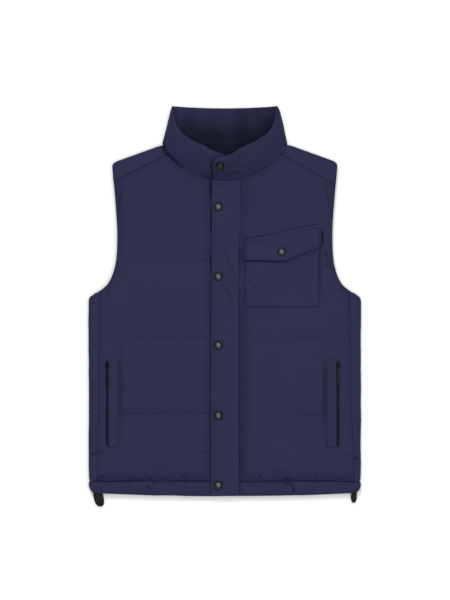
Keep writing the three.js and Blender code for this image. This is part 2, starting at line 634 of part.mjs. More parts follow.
// Collar: sections joined by a smooth curve, then given their thickness either way
function collarSurface() {
  const curve = (pick) => new THREE.CatmullRomCurve3(
    COLLAR_SECTIONS.map((s) => new THREE.Vector3(...pick(s))), false, 'centripetal',
  );
  const foot = curve((s) => s.b);
  const rim = curve((s) => s.t);
  const last = COLLAR_SECTIONS.length - 1;
  return (u, v) => {
    const [low, high] = [foot.getPoint(u), rim.getPoint(u)];
    return { point: low.lerp(high, v), thick: between(COLLAR_SECTIONS, u * last, 'thick') };
  };
}

// A column of a table at a fractional row
function between(table, row, column) {
  const i = Math.min(table.length - 2, Math.floor(row));
  return THREE.MathUtils.lerp(table[i][column], table[i + 1][column], row - i);
}

// Share of the collar's thickness at a height v between its neck seam and its top edge
function collarShare(v) {
  const i = Math.max(1, COLLAR_EDGE.findIndex((e) => e.at >= v));
  const [a, b] = [COLLAR_EDGE[i - 1], COLLAR_EDGE[i]];
  return THREE.MathUtils.mapLinear(v, a.at, b.at, a.share, b.share);
}

const collarAt = collarSurface();

// The collar's outer face (way 1) or inner face (way -1) at shares u and v
function collarFace(u, v, way) {
  const h = 0.004;
  const du = collarAt(Math.min(1, u + h), v).point.sub(collarAt(Math.max(0, u - h), v).point);
  const dv = collarAt(u, 1).point.sub(collarAt(u, 0).point);
  const normal = dv.cross(du).normalize();
  const { point, thick } = collarAt(u, v);
  const rise = COLLAR_RISE * Math.sin(Math.PI * v) * THREE.MathUtils.smoothstep(point.z, 11, 19);
  point.addScaledVector(normal, rise + (way * thick * collarShare(v)) / 2);
  point.z = Math.max(0, point.z);
  return point;
}

function makeCollar() {
  const columns = steps((COLLAR_SECTIONS.length - 1) * 2);
  const rows = COLLAR_EDGE.map((e) => e.at);
  const points = (way) => sheet(rows, columns, (u, v) => collarFace(u, v, way).toArray());
  add('collar', wallGeometry(points(1), points(-1)));
}

// A strip that lies on a front: made from the front's points, moved out
function onFront(front, side, xs, ys, thick) {
  const under = laySheet([front], sheet(ys, xs, (x, y) => [side * x, y]));
  const top = under.map((row, i) => row.map(([x, y, z], j) => [x, y, z + thick(xs[j], ys[i])]));
  return { geometry: wallGeometry(top, under), top };
}

function spread(from, to, n) {
  return steps(n).map((t) => THREE.MathUtils.lerp(from, to, t));
}

// Hand pockets: a welt, a zip beside it, and the zip's slider and pull
function makeHandPocket({ side, name, weltInner, weltOuter }) {
  const front = face[`front_${name}`];
  const across = (x) => (x - weltInner) / (weltOuter - weltInner);
  const weltThick = (x) => THREE.MathUtils.lerp(WELT.seamThick, WELT.mouthThick, across(x));
  const weltYs = [WELT.bottom, ...zipRows(WELT.bottom + 4, WELT.top - 4), WELT.top];
  const welt = onFront(front, side, spread(weltInner, weltOuter, 3), weltYs, weltThick);
  add(`pocket_welt_${name}`, welt.geometry);
  const zipIn = weltOuter + 0.4;
  const zipYs = zipRows(ZIP.bottom, ZIP.top);
  const zip = onFront(front, side, spread(zipIn, zipIn + ZIP.width, 2), zipYs, () => ZIP.thick);
  add(`pocket_zip_${name}`, zip.geometry, material.zip);
  const x = side * (zipIn + ZIP.width / 2);
  const deck = restingHeight([zip.top], x, SLIDER.y, SLIDER.length / 2);
  makeSlider(name, x, deck);
  makePull(name, x, deck + SLIDER.thick);
}

// Y values along a zip, closer together where a channel line crosses it
function zipRows(from, to) {
  const near = CHANNEL_LINES.flatMap((y) => LINE_ROWS.map((d) => y + d));
  const inside = [...near, 118, 240].filter((y) => y > from + 1 && y < to - 1);
  return [from, ...inside.sort((a, b) => a - b), to];
}

// A box with its lowest corner and its size given
function block(low, size) {
  const geometry = new THREE.BoxGeometry(...size);
  geometry.translate(...low.map((l, i) => l + size[i] / 2));
  return solidOf(geometry);
}

// Slider body with two ears that hold the pull's barrel
function makeSlider(name, x, deck) {
  const { width, length, thick, y, ear, earHeight, earLength } = SLIDER;
  let slider = block([x - width / 2, y - length / 2, deck], [width, length, thick]);
  for (const edge of [-1, 1]) {
    const low = x + edge * (PULL.neckWidth / 2 + GAP + ear / 2) - ear / 2;
    const foot = [low, y - earLength / 2, deck + thick - 0.5];
    slider = slider.add(block(foot, [ear, earLength, earHeight + 0.5]));
  }
  add(`zip_slider_${name}`, geometryOf(slider), material.metal);
}

// Pull tab: a barrel between the ears, a narrow neck and a blade with a hole at its end
function makePull(name, x, deck) {
  const { width, neckWidth, length, thick, barrel, hole } = PULL;
  const axis = [x, SLIDER.y, deck + GAP + barrel];
  const pin = new THREE.CylinderGeometry(barrel, barrel, neckWidth, 16).rotateZ(Math.PI / 2);
  const blade = (half, from, to) => block(
    [x - half, axis[1] - to, axis[2] - thick / 2], [2 * half, to - from, thick],
  );
  const neckLength = SLIDER.earLength / 2 + 2.2;
  const cutter = new THREE.CylinderGeometry(hole, hole, 4 * thick, 16).rotateX(Math.PI / 2);
  const eye = solidOf(cutter.translate(x, axis[1] - length + 2.6, axis[2]));
  const pull = solidOf(pin.translate(...axis))
    .add(blade(neckWidth / 2, 0, neckLength + 1))
    .add(blade(width / 2, neckLength, length))
    .subtract(eye);
  add(`zip_pull_${name}`, geometryOf(pull), material.metal);
}

// Chest pocket and its flap, on the left front
const flapTop = (x) => THREE.MathUtils.mapLinear(x, FLAP.left, FLAP.right, FLAP.topLeft, FLAP.topRight);
const flapBottom = (x) => (x < FLAP.point
  ? THREE.MathUtils.mapLinear(x, FLAP.left, FLAP.point, FLAP.bottomLeft, FLAP.bottomPoint)
  : THREE.MathUtils.mapLinear(x, FLAP.point, FLAP.right, FLAP.bottomPoint, FLAP.bottomRight));
const pocketTop = (x) => flapTop(x) - POCKET.underFlap;

function pocketThick(x, y) {
  const inset = Math.min(x - POCKET.left, POCKET.right - x, y - POCKET.bottom, pocketTop(x) - y);
  const edge = THREE.MathUtils.clamp(inset / 4, 0, 1);
  const raised = THREE.MathUtils.smoothstep(x, POCKET.right - 30, POCKET.right - 4);
  const pleat = POCKET.pleat * raised * Math.min(1, (y - POCKET.bottom) / 12);
  return THREE.MathUtils.lerp(POCKET.edgeThick, POCKET.thick, edge) + pleat;
}

// A four-sided patch on the left front between two edges given as functions of X
function patchOn(name, below, xs, shares, [low, high], thick) {
  const under = laySheet(below, sheet(shares, xs, (x, v) => [x, THREE.MathUtils.lerp(low(x), high(x), v)]));
  face[name] = under.map((row) => row.map(([x, y, z]) => [x, y, z + thick(x, y)]));
  return wallGeometry(face[name], under);
}

function makeChestPocket() {
  const { left, right, bottom } = POCKET;
  const xs = [left, left + 4, left + 28, left + 64, left + 100, right - 30, right - 17, right - 6, right];
  const shares = [0, 0.03, 0.14, 0.36, 0.58, 0.78, 0.9, 0.97, 1];
  const corner = (x) => bottom + Math.max(0, 4 - (right - x) * 0.7);
  const edges = [corner, pocketTop];
  add('chest_pocket', patchOn('chest_pocket', [face.front_left], xs, shares, edges, pocketThick));
}

function makeFlap() {
  const { left, right, point, thick, edgeThick } = FLAP;
  const side = POCKET.right;
  const xs = [left, left + 3, 60, 88, point, 140, 158, 170, side - 6, side + 0.8, side + 3, right];
  const shares = [0, 0.07, 0.3, 0.55, 0.75, 0.84, 0.93, 1];
  const rim = (x, y) => Math.min(x - left, right - x, y - flapBottom(x));
  const body = (x, y) => THREE.MathUtils.lerp(edgeThick, thick, THREE.MathUtils.clamp(rim(x, y) / 3, 0, 1));
  const below = [face.front_left, face.chest_pocket];
  add('chest_flap', patchOn('chest_flap', below, xs, shares, [flapBottom, flapTop], body));
}

// Snap cap: a raised rim, a groove and a shallow dome
function snapGeometry() {
  const { radius, height, sides } = SNAP;
  const profile = [
    [0, 0], [radius * 0.93, 0], [radius, 0.25 * height], [radius * 0.93, 0.5 * height],
    [radius * 0.76, 0.46 * height], [radius * 0.7, 0.68 * height], [radius * 0.4, 0.92 * height], [0, height],
  ];
  const lathe = new THREE.LatheGeometry(profile.map(([r, h]) => new THREE.Vector2(r, h)), sides);
  return geometryOf(solidOf(lathe.rotateX(Math.PI / 2)));
}

function addSnap(name, x, y, z, normal = new THREE.Vector3(0, 0, 1)) {
  const mesh = add(name, snapGeometry(), material.metal);
  mesh.position.set(x, y, z);
  mesh.quaternion.setFromUnitVectors(new THREE.Vector3(0, 0, 1), normal);
}

// The place on the collar's outer face above a point of the plan, with its slope
function collarSpot(x, y) {
  let best = { miss: Infinity };
  for (let i = 0; i <= 60; i++) {
    for (let j = 0; j <= 40; j++) {
      const [u, v] = [0.93 + (0.07 * i) / 60, j / 40];
      const p = collarFace(u, v, 1);
      const miss = Math.hypot(p.x - x, p.y - y);
      if (miss < best.miss) best = { miss, u, v, p };
    }
  }
  const { u, v, p } = best;
  const du = collarFace(u - 0.01, v, 1).sub(p);
  const dv = collarFace(u, v + 0.05, 1).sub(p);
  const normal = du.cross(dv).normalize();
  if (normal.z < 0) normal.negate();
  return { p, normal };
}

function makeSnaps() {
  const { x, ys } = PLACKET_SNAPS;
  ys.forEach((y, i) => addSnap(`snap_placket_${i + 1}`, x, y, placketTop(x) + GAP));
  const onFlap = restingHeight([face.chest_flap], FLAP_SNAP.x, FLAP_SNAP.y, 6);
  addSnap('snap_flap', FLAP_SNAP.x, FLAP_SNAP.y, onFlap);
  const { p, normal } = collarSpot(COLLAR_SNAP.x, COLLAR_SNAP.y);
  const seat = p.clone().addScaledVector(normal, 2 * GAP);
  addSnap('snap_collar', seat.x, seat.y, seat.z, normal);
}

// Cord toggle: a ribbed barrel with a tapered nose, lying on the surface below the hem
function makeToggle({ name, x, width, length, lean }) {
  const top = hemEdge(Math.abs(x) - width / 2) - GAP;
  const stations = [
    { at: 0, size: 0.9 }, { at: 0.06, size: 1 }, { at: 0.4, size: 1 }, { at: 0.66, size: 0.96 },
    { at: 0.84, size: 0.78 }, { at: 0.95, size: 0.52 }, { at: 1, size: 0.3 },
  ];
  const sides = 24;
  const ribs = width > 15 ? 12 : 8;
  const rings = stations.map(({ at, size }) => Array.from({ length: sides }, (_, i) => {
    const angle = (2 * Math.PI * i) / sides;
    const rib = 1 - 0.07 * (1 - Math.cos(ribs * angle)) / 2;
    const px = (width / 2) * size * rib * softSquare(Math.cos(angle));
    const pz = (TOGGLE_HEIGHT / 2) * size * rib * softSquare(Math.sin(angle));
    return [x + lean * at + px, top - length * at, TOGGLE_HEIGHT / 2 + pz];
  }));
  add(name, ringGeometry(rings), material.plastic);
}

// Pushes a cosine or sine out towards a rounded square
function softSquare(c) {
  return Math.sign(c) * Math.abs(c) ** 0.72;
}

makeBack();
makeYoke();
makeSidePanel('side_panel_right', -1);
makeSidePanel('side_panel_left', 1);
makeFront('front_right', -1, -UNDERLAP);
makeFront('front_left', 1, PLACKET_RIGHT + GAP);
makeBackHem();
makeFrontHem('hem_band_right', -1, -UNDERLAP);
makeFrontHem('hem_band_left', 1, PLACKET_RIGHT + GAP);
makePlacket();
makeCollar();
makeChestPocket();
makeFlap();
HAND_POCKETS.forEach(makeHandPocket);
makeSnaps();
TOGGLES.forEach(makeToggle);

// The origin is under the middle of the whole outline
const box = new THREE.Box3().setFromObject(vest);
const centre = box.getCenter(new THREE.Vector3());
vest.position.set(-centre.x, -centre.y, -box.min.z);

export default vest;
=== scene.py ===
"""Looks of the quilted vest, laid flat: padded cloth, stitching, zips, snaps and toggles.

Sizes are in millimetres from the middle of the hem, with X to the wearer's left, Y towards the
collar and Z up from the surface, as a maker measures a vest laid flat. placed() turns them
into the frame's metres.
"""

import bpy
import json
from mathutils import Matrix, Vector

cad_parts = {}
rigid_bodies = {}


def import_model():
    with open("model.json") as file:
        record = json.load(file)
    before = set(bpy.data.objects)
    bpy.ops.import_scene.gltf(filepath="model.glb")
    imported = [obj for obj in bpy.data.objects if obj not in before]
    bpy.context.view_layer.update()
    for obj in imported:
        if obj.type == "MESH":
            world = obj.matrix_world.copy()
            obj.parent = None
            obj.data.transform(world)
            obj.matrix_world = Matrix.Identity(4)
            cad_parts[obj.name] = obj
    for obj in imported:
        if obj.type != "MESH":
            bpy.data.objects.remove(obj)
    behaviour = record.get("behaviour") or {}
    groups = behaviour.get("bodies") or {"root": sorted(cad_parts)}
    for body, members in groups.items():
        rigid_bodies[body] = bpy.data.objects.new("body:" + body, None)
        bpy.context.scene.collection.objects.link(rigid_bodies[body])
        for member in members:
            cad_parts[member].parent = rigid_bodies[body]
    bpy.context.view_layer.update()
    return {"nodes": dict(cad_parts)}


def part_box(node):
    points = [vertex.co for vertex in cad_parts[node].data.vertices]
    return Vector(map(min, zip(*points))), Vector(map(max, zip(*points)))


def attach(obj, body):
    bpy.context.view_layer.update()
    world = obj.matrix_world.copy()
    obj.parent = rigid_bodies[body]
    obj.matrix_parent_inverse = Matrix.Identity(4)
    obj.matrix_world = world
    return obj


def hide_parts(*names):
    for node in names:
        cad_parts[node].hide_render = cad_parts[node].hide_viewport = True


bl_info = {
    "name": "Quilted vest",
    "version": (1, 0, 0),
    "blender": (4, 5, 0),
    "location": "View3D > Sidebar > Vest",
    "description": "Dresses the packed vest: padded pieces, stitching, zips, snaps and toggles",
    "category": "Object",
}

import json
import math
from collections import namedtuple
from functools import reduce

import bmesh
import bpy
import numpy as np
from bpy.props import FloatProperty, FloatVectorProperty, PointerProperty
from mathutils import Vector
from mathutils.bvhtree import BVHTree

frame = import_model()

MM = 0.001

# Sizes of the cut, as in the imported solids
HALF_WIDTH = 272.5
MEET = 12.0  # height of the plane where the fronts meet the back
GAP = 0.3
FOLD_RADIUS = 12.0
FOLD_WALL = 10.0
EDGE_RADIUS = 12.0
FULL_LOFT = 15.6
HEM_SEAM = 30.0
HEM_LOFT = 11.0
HEM_RISE, HEM_RISE_AT, HEM_CORNER = 5.3, 250.0, 10.0
BACK_SEAM = 236.0
YOKE_BACK_SEAM = 590.0
BACK_NECK = 700.0
UNDERLAP = 8.0
UNDERLAP_LOFT = 4.0
PLACKET_RIGHT = 30.0
PLACKET_TOP = 21.8
ROW_FAN = 505.0  # above this the rows of a front spread round the neck
FAN_ROWS = 110
NECK_MIDDLE_Y = 770.0  # the neck edges of the fronts are tucked towards this point
FRONT_LEFT_EDGE = 26.2
TUCK = 2.4  # how far the edges of a front go in under the collar and the placket
TUCK_DROP = 3.0  # how far a tucked edge goes down
LAP = 0.5  # how far the padded pieces run into each other where they are sewn together
LAPPED_FROM = -1.2  # a right piece is flat from this far in under the placket's edge
SHOULDER_END = 116.0
UNDER_COLLAR = 1.04  # share of a shoulder's length that it reaches, to go in under the collar
FOLD_FROM, FOLD_SHARE, FOLD_TO = 0.2, 0.6, 0.8  # shares of a section before, in and after a fold
UPPER = 0.7  # the share of a section that is seen from above
SHADE_PER_MM = 0.2  # how much shade is painted at the bottom of a crease for each millimetre of its depth

HEM_TO_ORIGIN = HEM_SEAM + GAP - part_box("back_panel")[0].y / MM


def smooth_line(points, steps=12):
    """A smooth polyline through a few points."""
    p = np.array(points, float)
    p = np.vstack([2 * p[0] - p[1], p, 2 * p[-1] - p[-2]])
    t = np.linspace(0, 1, steps, endpoint=False)[:, None]
    rows = []
    for a, b, c, d in zip(p[:-3], p[1:-2], p[2:-1], p[3:]):
        rows.append(b + 0.5 * t * (c - a + t * (2 * a - 5 * b + 4 * c - d + t * (3 * (b - c) + d - a))))
    return np.vstack(rows + [p[-2:-1]])


ARMHOLE = smooth_line([
    (272.5, 401), (250, 411), (231, 431), (218.5, 468),
    (215.5, 520), (217.8, 572), (222.5, 628), (226, 668.6),
])
ARMHOLE_FOOT = ARMHOLE[:40]  # its lower stretch, which passes each X once
SIDE_SEAM = {
    -1: smooth_line([(258, 0), (254.6, 95), (252.3, 250), (250.5, 410.6)]),
    1: smooth_line([(262, 0), (257.2, 95), (252.8, 200), (250.6, 300), (250.5, 410.6)]),
}
NECK = smooth_line([
    (-8, 631.2), (0, 631), (32, 634), (60, 644), (88, 660), (103, 674), (115.6, 686), (123.5, 702.6),
])
PLACKET_SEAM = smooth_line([(29.6, 0), (28.8, 120), (28.3, 330), (28.6, 470), (30.6, 550), (31.4, 633)])
PLACKET_EDGE = smooth_line([(-27.6, 0), (-28.4, 150), (-28, 330), (-26.6, 520), (-25.6, 633)])
SHOULDER_SEAM = {
    -1: np.array([(222.7, 629.6), (115.6, 684)]), 1: np.array([(221.9, 623.8), (115.6, 684)]),
}
SHOULDER_FOLD = {
    -1: np.array([(226, 667.4), (124.5, 704)]), 1: np.array([(226, 668.6), (124.5, 705.2)]),
}

# Sewn channel lines on the fronts: Y at the side seam and at the placket, and how deep the line
# is at places across the front
Channel = namedtuple("Channel", "side centre depths")
CHANNELS = {
    -1: [
        Channel(165, 166.5, [(30, 0.95), (60, 0.8), (150, 0.75), (205, 0.6), (236, 0.25)]),
        Channel(313, 321, [(30, 0.6), (70, 0.7), (110, 0.45), (180, 0.55), (240, 0.45)]),
        Channel(475, 473, [(30, 0.7), (90, 0.6), (150, 0.45), (215, 0.12)]),
    ],
    1: [
        Channel(161, 166, [(30, 0.3), (105, 0.3), (125, 0.6), (195, 0.75), (235, 0.35)]),
        Channel(316, 318.5, [(30, 0.2), (110, 0.25), (150, 0.55), (235, 0.5), (245, 0.25)]),
        Channel(466, 472, [(180, 0), (200, 0.6), (240, 0.7)]),
    ],
}

# Where the loft is drawn down: share of the full loft, and how far that reaches
Draw = namedtuple("Draw", "depth reach")
CHANNEL_DRAW = Draw(0.34, 40)
HEM_DRAW = Draw(0.5, 46)
SIDE_DRAW = Draw(0.26, 16)
ARMHOLE_DRAW = Draw(0.58, 24)
NECK_DRAW = Draw(0.34, 20)
SHOULDER_DRAW = Draw(0.26, 18)
PLACKET_DRAW = {-1: Draw(0.5, 24), 1: Draw(0.52, 34)}
BAND_DRAW = Draw(0.4, 14)
DRAW_FALL = 2.3  # the power with which that fades

# How the sewing pinches the cloth: distance between pinches, their length and depth, and how far
# they lean along the line
Pinch = namedtuple("Pinch", "spacing length depth lean", defaults=[0.55])
CHANNEL_PINCH = Pinch(10, 15, 0.55)
HEM_PINCH = Pinch(7, 14, 1.5, 1.5)
BACK_PINCH = Pinch(11, 17, 1.3)
PLACKET_PINCH = Pinch(13, 17, 0.75)
SETS_IN, FOLD_SETS_IN = 0.06, 0.3  # share of its length in which a pinch or a crease sets in

BACK_CHANNELS = (166.0, 316.0, 472.0)

# Pockets
HandPocket = namedtuple("HandPocket", "side name inner outer")
HAND_POCKETS = [HandPocket(-1, "right", 212.4, 231.6), HandPocket(1, "left", 203.0, 223.0)]
WELT_ENDS = (98.0, 274.0)
ZIP_ENDS = (101.0, 271.0)
ZIP_WIDTH = 5.4
STITCH_STEP = 1.6  # distance between the places where a row of stitches follows the cloth
CHEST_LEFT, CHEST_RIGHT, CHEST_BOTTOM = 38.6, 188.2, 378.0
FLAP_LEFT, FLAP_RIGHT, FLAP_POINT = 36.4, 193.2, 120.0

# Creases in the cloth, by piece: X and Y of both ends, the depth (minus is a ridge), the width and
# how far the middle bows to the left of its way
Crease = namedtuple("Crease", "x0 y0 x1 y1 depth width bow")
CREASES = {
    "back": [
        (-150, 62, -58, 86, 2.0, 5, 4), (36, 118, 150, 98, 1.7, 5, -3),
        (-188, 236, -92, 208, 2.2, 6, 5), (66, 268, 176, 240, 1.9, 6, -5),
        (-44, 404, 84, 384, 1.6, 7, 4), (118, 426, 178, 452, 2.1, 5, 3),
        (-172, 534, -96, 496, 2.0, 6, -4), (60, 566, 158, 528, 1.8, 6, 4),
    ],
    "placket": [
        (-4, 448, 8, 416, 1.2, 2.4, 1), (8, 438, 26, 398, 1.1, 2.6, 2),
        (-4, 508, 15, 428, 1.6, 2.6, 1.5), (-10, 542, 2, 496, 1.0, 3.4, 1),
        (2, 462, 16, 436, 1.0, 3, -1), (-18, 520, -8, 488, 0.8, 3, 1), (10, 300, 24, 262, 0.7, 4, 2),
        (12, 470, 27, 430, 1.5, 2.8, -2), (-6, 428, 22, 378, 1.7, 2.8, 1.5),
        (-21, 628, 18, 626, 1.1, 2.4, -4), (4, 560, 26, 520, 0.5, 6, 2), (-8, 250, 20, 225, 0.4, 6, -2),
    ],
    "front": [
        (39, 378, 41, 40, 1.0, 11, 2), (-36, 622, -33, 560, 1.2, 6, -1),
        (194.8, 536, 195.4, 494, 5.0, 2.2, 0), (198, 463, 215, 461, 2.0, 4.5, 0),
        (190.5, 520, 190, 384, 1.8, 2.4, 0), (34, 500, 33, 455, 2.0, 2.4, 0),
        (-208.5, 300, -207, 96, 2.1, 4.0, 0), (-206, 250, -203, 190, 0.9, 6, 1),
        (199, 286, 198.5, 96, 2.2, 4.2, 0), (39, 436, 62, 405, 1.0, 4, 2),
        (197, 492, 209, 468, 2.2, 3.4, 1), (-205, 622, -212, 540, 2.4, 4.6, -3),
        (195, 628, 214, 566, 1.6, 5, 3), (-228, 426, -236, 392, 1.4, 4, -2),
        (232, 428, 238, 392, 1.1, 5, 3), (-97, 204, -87, 187, 0.9, 3, 1),
        (-211, 306, -209, 276, 1.0, 3.5, 0), (204, 300, 203, 276, 0.8, 3.5, 0),
        (-262, 86, -236, 89.5, 3.0, 2.0, 1), (232, 84, 256, 77, 2.0, 2.2, 1),
        (232, 161, 252, 161, 1.0, 2, 0), (-253, 44, -236, 41, -1.8, 4, 2),
        (-256, 33, -238, 39, 2.6, 1.8, 3), (-138, 32, -115, 35, 2.2, 1.9, 2),
        (-77, 39, -60, 33, 2.2, 1.9, 2), (112, 37, 136, 31, 3.0, 2.6, 1),
        (222, 36, 240, 32, 3.0, 2.2, 1), (-190, 33, -162, 32, 2.4, 2.6, 2),
        (-150, 60, -120, 44, 0.8, 7, 2), (96, 58, 128, 42, 0.8, 7, -2),
        (-60, 610, -110, 560, 0.6, 12, 5), (70, 640, 120, 590, 0.6, 12, -5),
        (-205, 245, -150, 215, 0.5, 12, 4), (195, 120, 140, 100, 0.6, 10, 4),
    ],
    "hem": [
        (-160, 25, -144, 5, 3.0, 2.4, 1), (-152, 26, -138, 8, -1.2, 3, 1),
        (117, 29, 135, 22, 3.2, 2.2, 1), (134, 25, 139, 3, 4.4, 2.1, 1), (116, 27, 134, 6, -1.2, 3, 2),
        (60, 27, 68, 10, 0.9, 3, 1), (-90, 28, -84, 8, 0.8, 3, -1), (205, 30, 214, 12, 1.0, 3, -1),
        (-214, 28, -222, 10, 1.0, 3, 1),
    ],
    "side": [
        (-272, 83, -252, 87, 3.2, 2.4, 0), (252, 79, 272, 74, 3.4, 2.6, 0),
        (257, 135, 270, 136, 1.2, 3, 0), (-258, 262, -271, 258, 0.9, 4, 0),
        (254, 300, 271, 306, 0.8, 4, 0),
    ],
    "pocket": [
        (44, 432, 62, 405, 0.8, 5, 2), (69, 402, 80, 384, 0.8, 4, 1), (120, 450, 160, 400, 0.3, 14, 4),
    ],
    "flap": [
        (60, 512, 110, 500, 0.3, 9, 3),
    ],
    "collar": [
        (8, 653, 31, 644, 1.6, 1.9, -2), (12, 660, 52, 657, 0.9, 3, 0), (-20, 670, -10, 669, 1.0, 2, 0),
        (2, 666, 22, 668, 0.9, 3, -2), (-103, 768, -91, 739, 2.2, 2.0, 0),
        (-97, 752, -84, 728, 1.6, 2.4, 1), (90, 742, 105, 756, 2.2, 2.4, 1),
        (76, 728, 84, 738, 1.0, 2.4, 0), (-84, 712, -72, 690, 1.0, 4, 2),
        (-46, 690, -30, 672, 0.7, 6, -2), (-62, 668, -48, 652, 1.0, 5, 2),
        (78, 690, 92, 668, 1.0, 5, 2), (-104, 720, -96, 700, 1.1, 5, 2), (30, 676, 62, 690, 0.7, 7, 2),
    ],
}

# Stand collar, from the middle of the back to the front: foot and rim are the middle of the
# wall at the neck seam and at the top edge
Section = namedtuple("Section", "foot rim thick")
COLLAR_BACK_TO_FRONT = [
    Section((0, 701, 6), (0, 777, 6), 12),
    Section((46.4, 702, 6), (40.8, 777.6, 6), 12),
    Section((93.7, 704.4, 6), (83.4, 779.6, 6), 11),
    Section((115.5, 706, 6.4), (99.6, 781, 6.2), 8.8),
    Section((121.4, 706.4, 11.6), (103.8, 779.8, 13), 8),
    Section((121.2, 699.8, 16.6), (101, 768, 21.5), 8.2),
    Section((115.2, 686, 17.6), (96, 744, 27), 9),
    Section((102.4, 674, 17.9), (84.7, 727, 31.2), 10),
    Section((86.4, 661, 18.2), (68.8, 715.5, 35.2), 10.4),
]
COLLAR_UNDER_END = [  # the wearer's right end, under the other
    Section((-58.7, 645.4, 17.6), (-45.8, 704, 37.5), 10),
    Section((-31.2, 636.6, 16.6), (-24.2, 693, 38), 8),
    Section((-12, 633.8, 15.9), (-8, 686, 35.5), 5.8),
    Section((9, 633.6, 15.9), (9, 681, 33), 5.4),
]
COLLAR_TOP_END = [  # the wearer's left end, lapped over
    Section((58.7, 645.4, 17.8), (45.8, 704, 40.5), 9.6),
    Section((31.2, 636.6, 18.2), (24.2, 691.5, 44.5), 8),
    Section((6, 633.6, 20), (3, 680.6, 44.8), 6.6),
    Section((-17, 633.8, 20), (-15, 679.4, 43), 6.4),
    Section((-22.5, 633.8, 20), (-21, 675.6, 42.4), 6.2),
]
COLLAR_RISE = 2.5


def length_setting(name, description, metres):
    """A length property, in metres."""
    return FloatProperty(
        name=name, description=description, default=metres, unit="LENGTH", subtype="DISTANCE",
    )


class VestSizes(bpy.types.PropertyGroup):
    """Sizes that a user would change."""

    front_grid: length_setting("Front grid", "Spacing of the points on the fronts", 0.0021)
    unevenness: length_setting("Unevenness", "Height of the filling's soft lumps", 0.001)
    groove: length_setting("Groove", "Depth of the tight groove along a sewn line", 0.0013)
    stitch_pitch: length_setting("Stitch pitch", "Distance from one stitch to the next", 0.0033)
    stitch_length: length_setting("Stitch length", "Length of the thread seen in a stitch", 0.0025)
    thread: length_setting("Thread", "Thickness of the sewing thread", 0.00045)
    tooth_pitch: length_setting("Tooth pitch", "Distance between turns on one side of a zip", 0.0016)


def colour_setting(name, description, value):
    """A colour property with a plain swatch."""
    return FloatVectorProperty(
        name=name, description=description, default=value, size=3, min=0, max=1, subtype="COLOR",
    )


class VestColours(bpy.types.PropertyGroup):
    """Colours that a user would change, as linear red, green and blue."""

    shell: colour_setting("Shell", "Navy shell cloth", (0.0202, 0.0214, 0.0560))
    # painted shade: the shell cloth turns towards this colour in its sewn lines, creases and shadows
    seam: colour_setting("Seam", "Shell cloth deep in a sewn line", (0.002, 0.002, 0.0085))
    thread: colour_setting("Thread", "Sewing thread", (0.012, 0.013, 0.046))
    tape: colour_setting("Zip tape", "Woven tape of the pocket zips", (0.009, 0.009, 0.019))
    coil: colour_setting("Zip coil", "Nylon coil of the pocket zips", (0.007, 0.007, 0.015))
    snap: colour_setting("Snap caps", "Aged gunmetal", (0.044, 0.0425, 0.039))
    brass: colour_setting("Zip pulls", "Antique brass", (0.019, 0.0178, 0.0155))
    toggle: colour_setting("Toggles", "Black-brown plastic", (0.0065, 0.004, 0.0035))
    floor: colour_setting("Floor", "Pale studio floor", (0.95, 0.95, 0.95))


def sizes():
    """The sizes that are set on the scene."""
    return bpy.context.scene.vest_sizes


def colours():
    """The colours that are set on the scene."""
    return bpy.context.scene.vest_colours


# Plain maths on the cut


def placed(points):
    """Points of the cut, in millimetres, as the frame's metres."""
    return (np.asarray(points, float) - (0, HEM_TO_ORIGIN, 0)) * MM


def lerp(a, b, t):
    """A value between two others."""
    return a + (b - a) * t


def smoothstep(x, low, high):
    """From 0 at low to 1 at high, with soft ends."""
    t = np.clip((x - low) / (high - low), 0, 1)
    return t * t * (3 - 2 * t)


def nearest(line, x, y):
    """Distance from each point to a polyline, and how far along it the nearest place is."""
    best = np.full(np.shape(x), np.inf)
    place = np.zeros(np.shape(x))
    run = 0.0
    for a, b in zip(line[:-1], line[1:]):
        d = b - a
        size = math.hypot(*d)
        t = np.clip(((x - a[0]) * d[0] + (y - a[1]) * d[1]) / size**2, 0, 1)
        gap = np.hypot(x - a[0] - t * d[0], y - a[1] - t * d[1])
        nearer = gap < best
        best = np.where(nearer, gap, best)
        place = np.where(nearer, run + t * size, place)
        run += size
    return best, place


def x_on(line, y):
    """X of a line where it passes a Y."""
    return np.interp(y, line[:, 1], line[:, 0])


def y_on(line, x):
    """Y of a line where it passes an X."""
    order = np.argsort(line[:, 0])
    return np.interp(x, line[order, 0], line[order, 1])


def share_along(line, shares):
    """Points at shares of a polyline's length."""
    steps = np.hypot(*np.diff(line, axis=0).T)
    run = np.concatenate([[0], np.cumsum(steps)]) / steps.sum()
    return np.stack([np.interp(shares, run, line[:, k]) for k in (0, 1)], axis=-1)


def noise(x, y, wavelength, seed):
    """Smooth seeded noise from -1 to 1."""
    side = 64
    start = (31.7, 17.3)  # the place on the lattice of the vest's zero
    lattice = np.random.default_rng(seed).uniform(-1, 1, (side, side))
    u, v = np.asarray(x) / wavelength + start[0], np.asarray(y) / wavelength + start[1]
    i, j = np.floor(u).astype(int), np.floor(v).astype(int)
    s, t = (f * f * f * (f * (6 * f - 15) + 10) for f in (u - i, v - j))
    low = lerp(lattice[i % side, j % side], lattice[(i + 1) % side, j % side], s)
    high = lerp(lattice[i % side, (j + 1) % side], lattice[(i + 1) % side, (j + 1) % side], s)
    return lerp(low, high, t)


def drawn(distance, draw):
    """How far a sewn line draws the loft down at a distance from it."""
    near = np.maximum(0, 1 - np.maximum(0, distance) / draw.reach)
    return draw.depth * near**DRAW_FALL


def darkest(*shades):
    """The darkest of some shades at each point."""
    return reduce(np.maximum, shades)


def groove(distance, width=1.5):
    """1 in the middle of a sewn line and 0 a few widths away."""
    return np.exp(-((distance / width) ** 2))


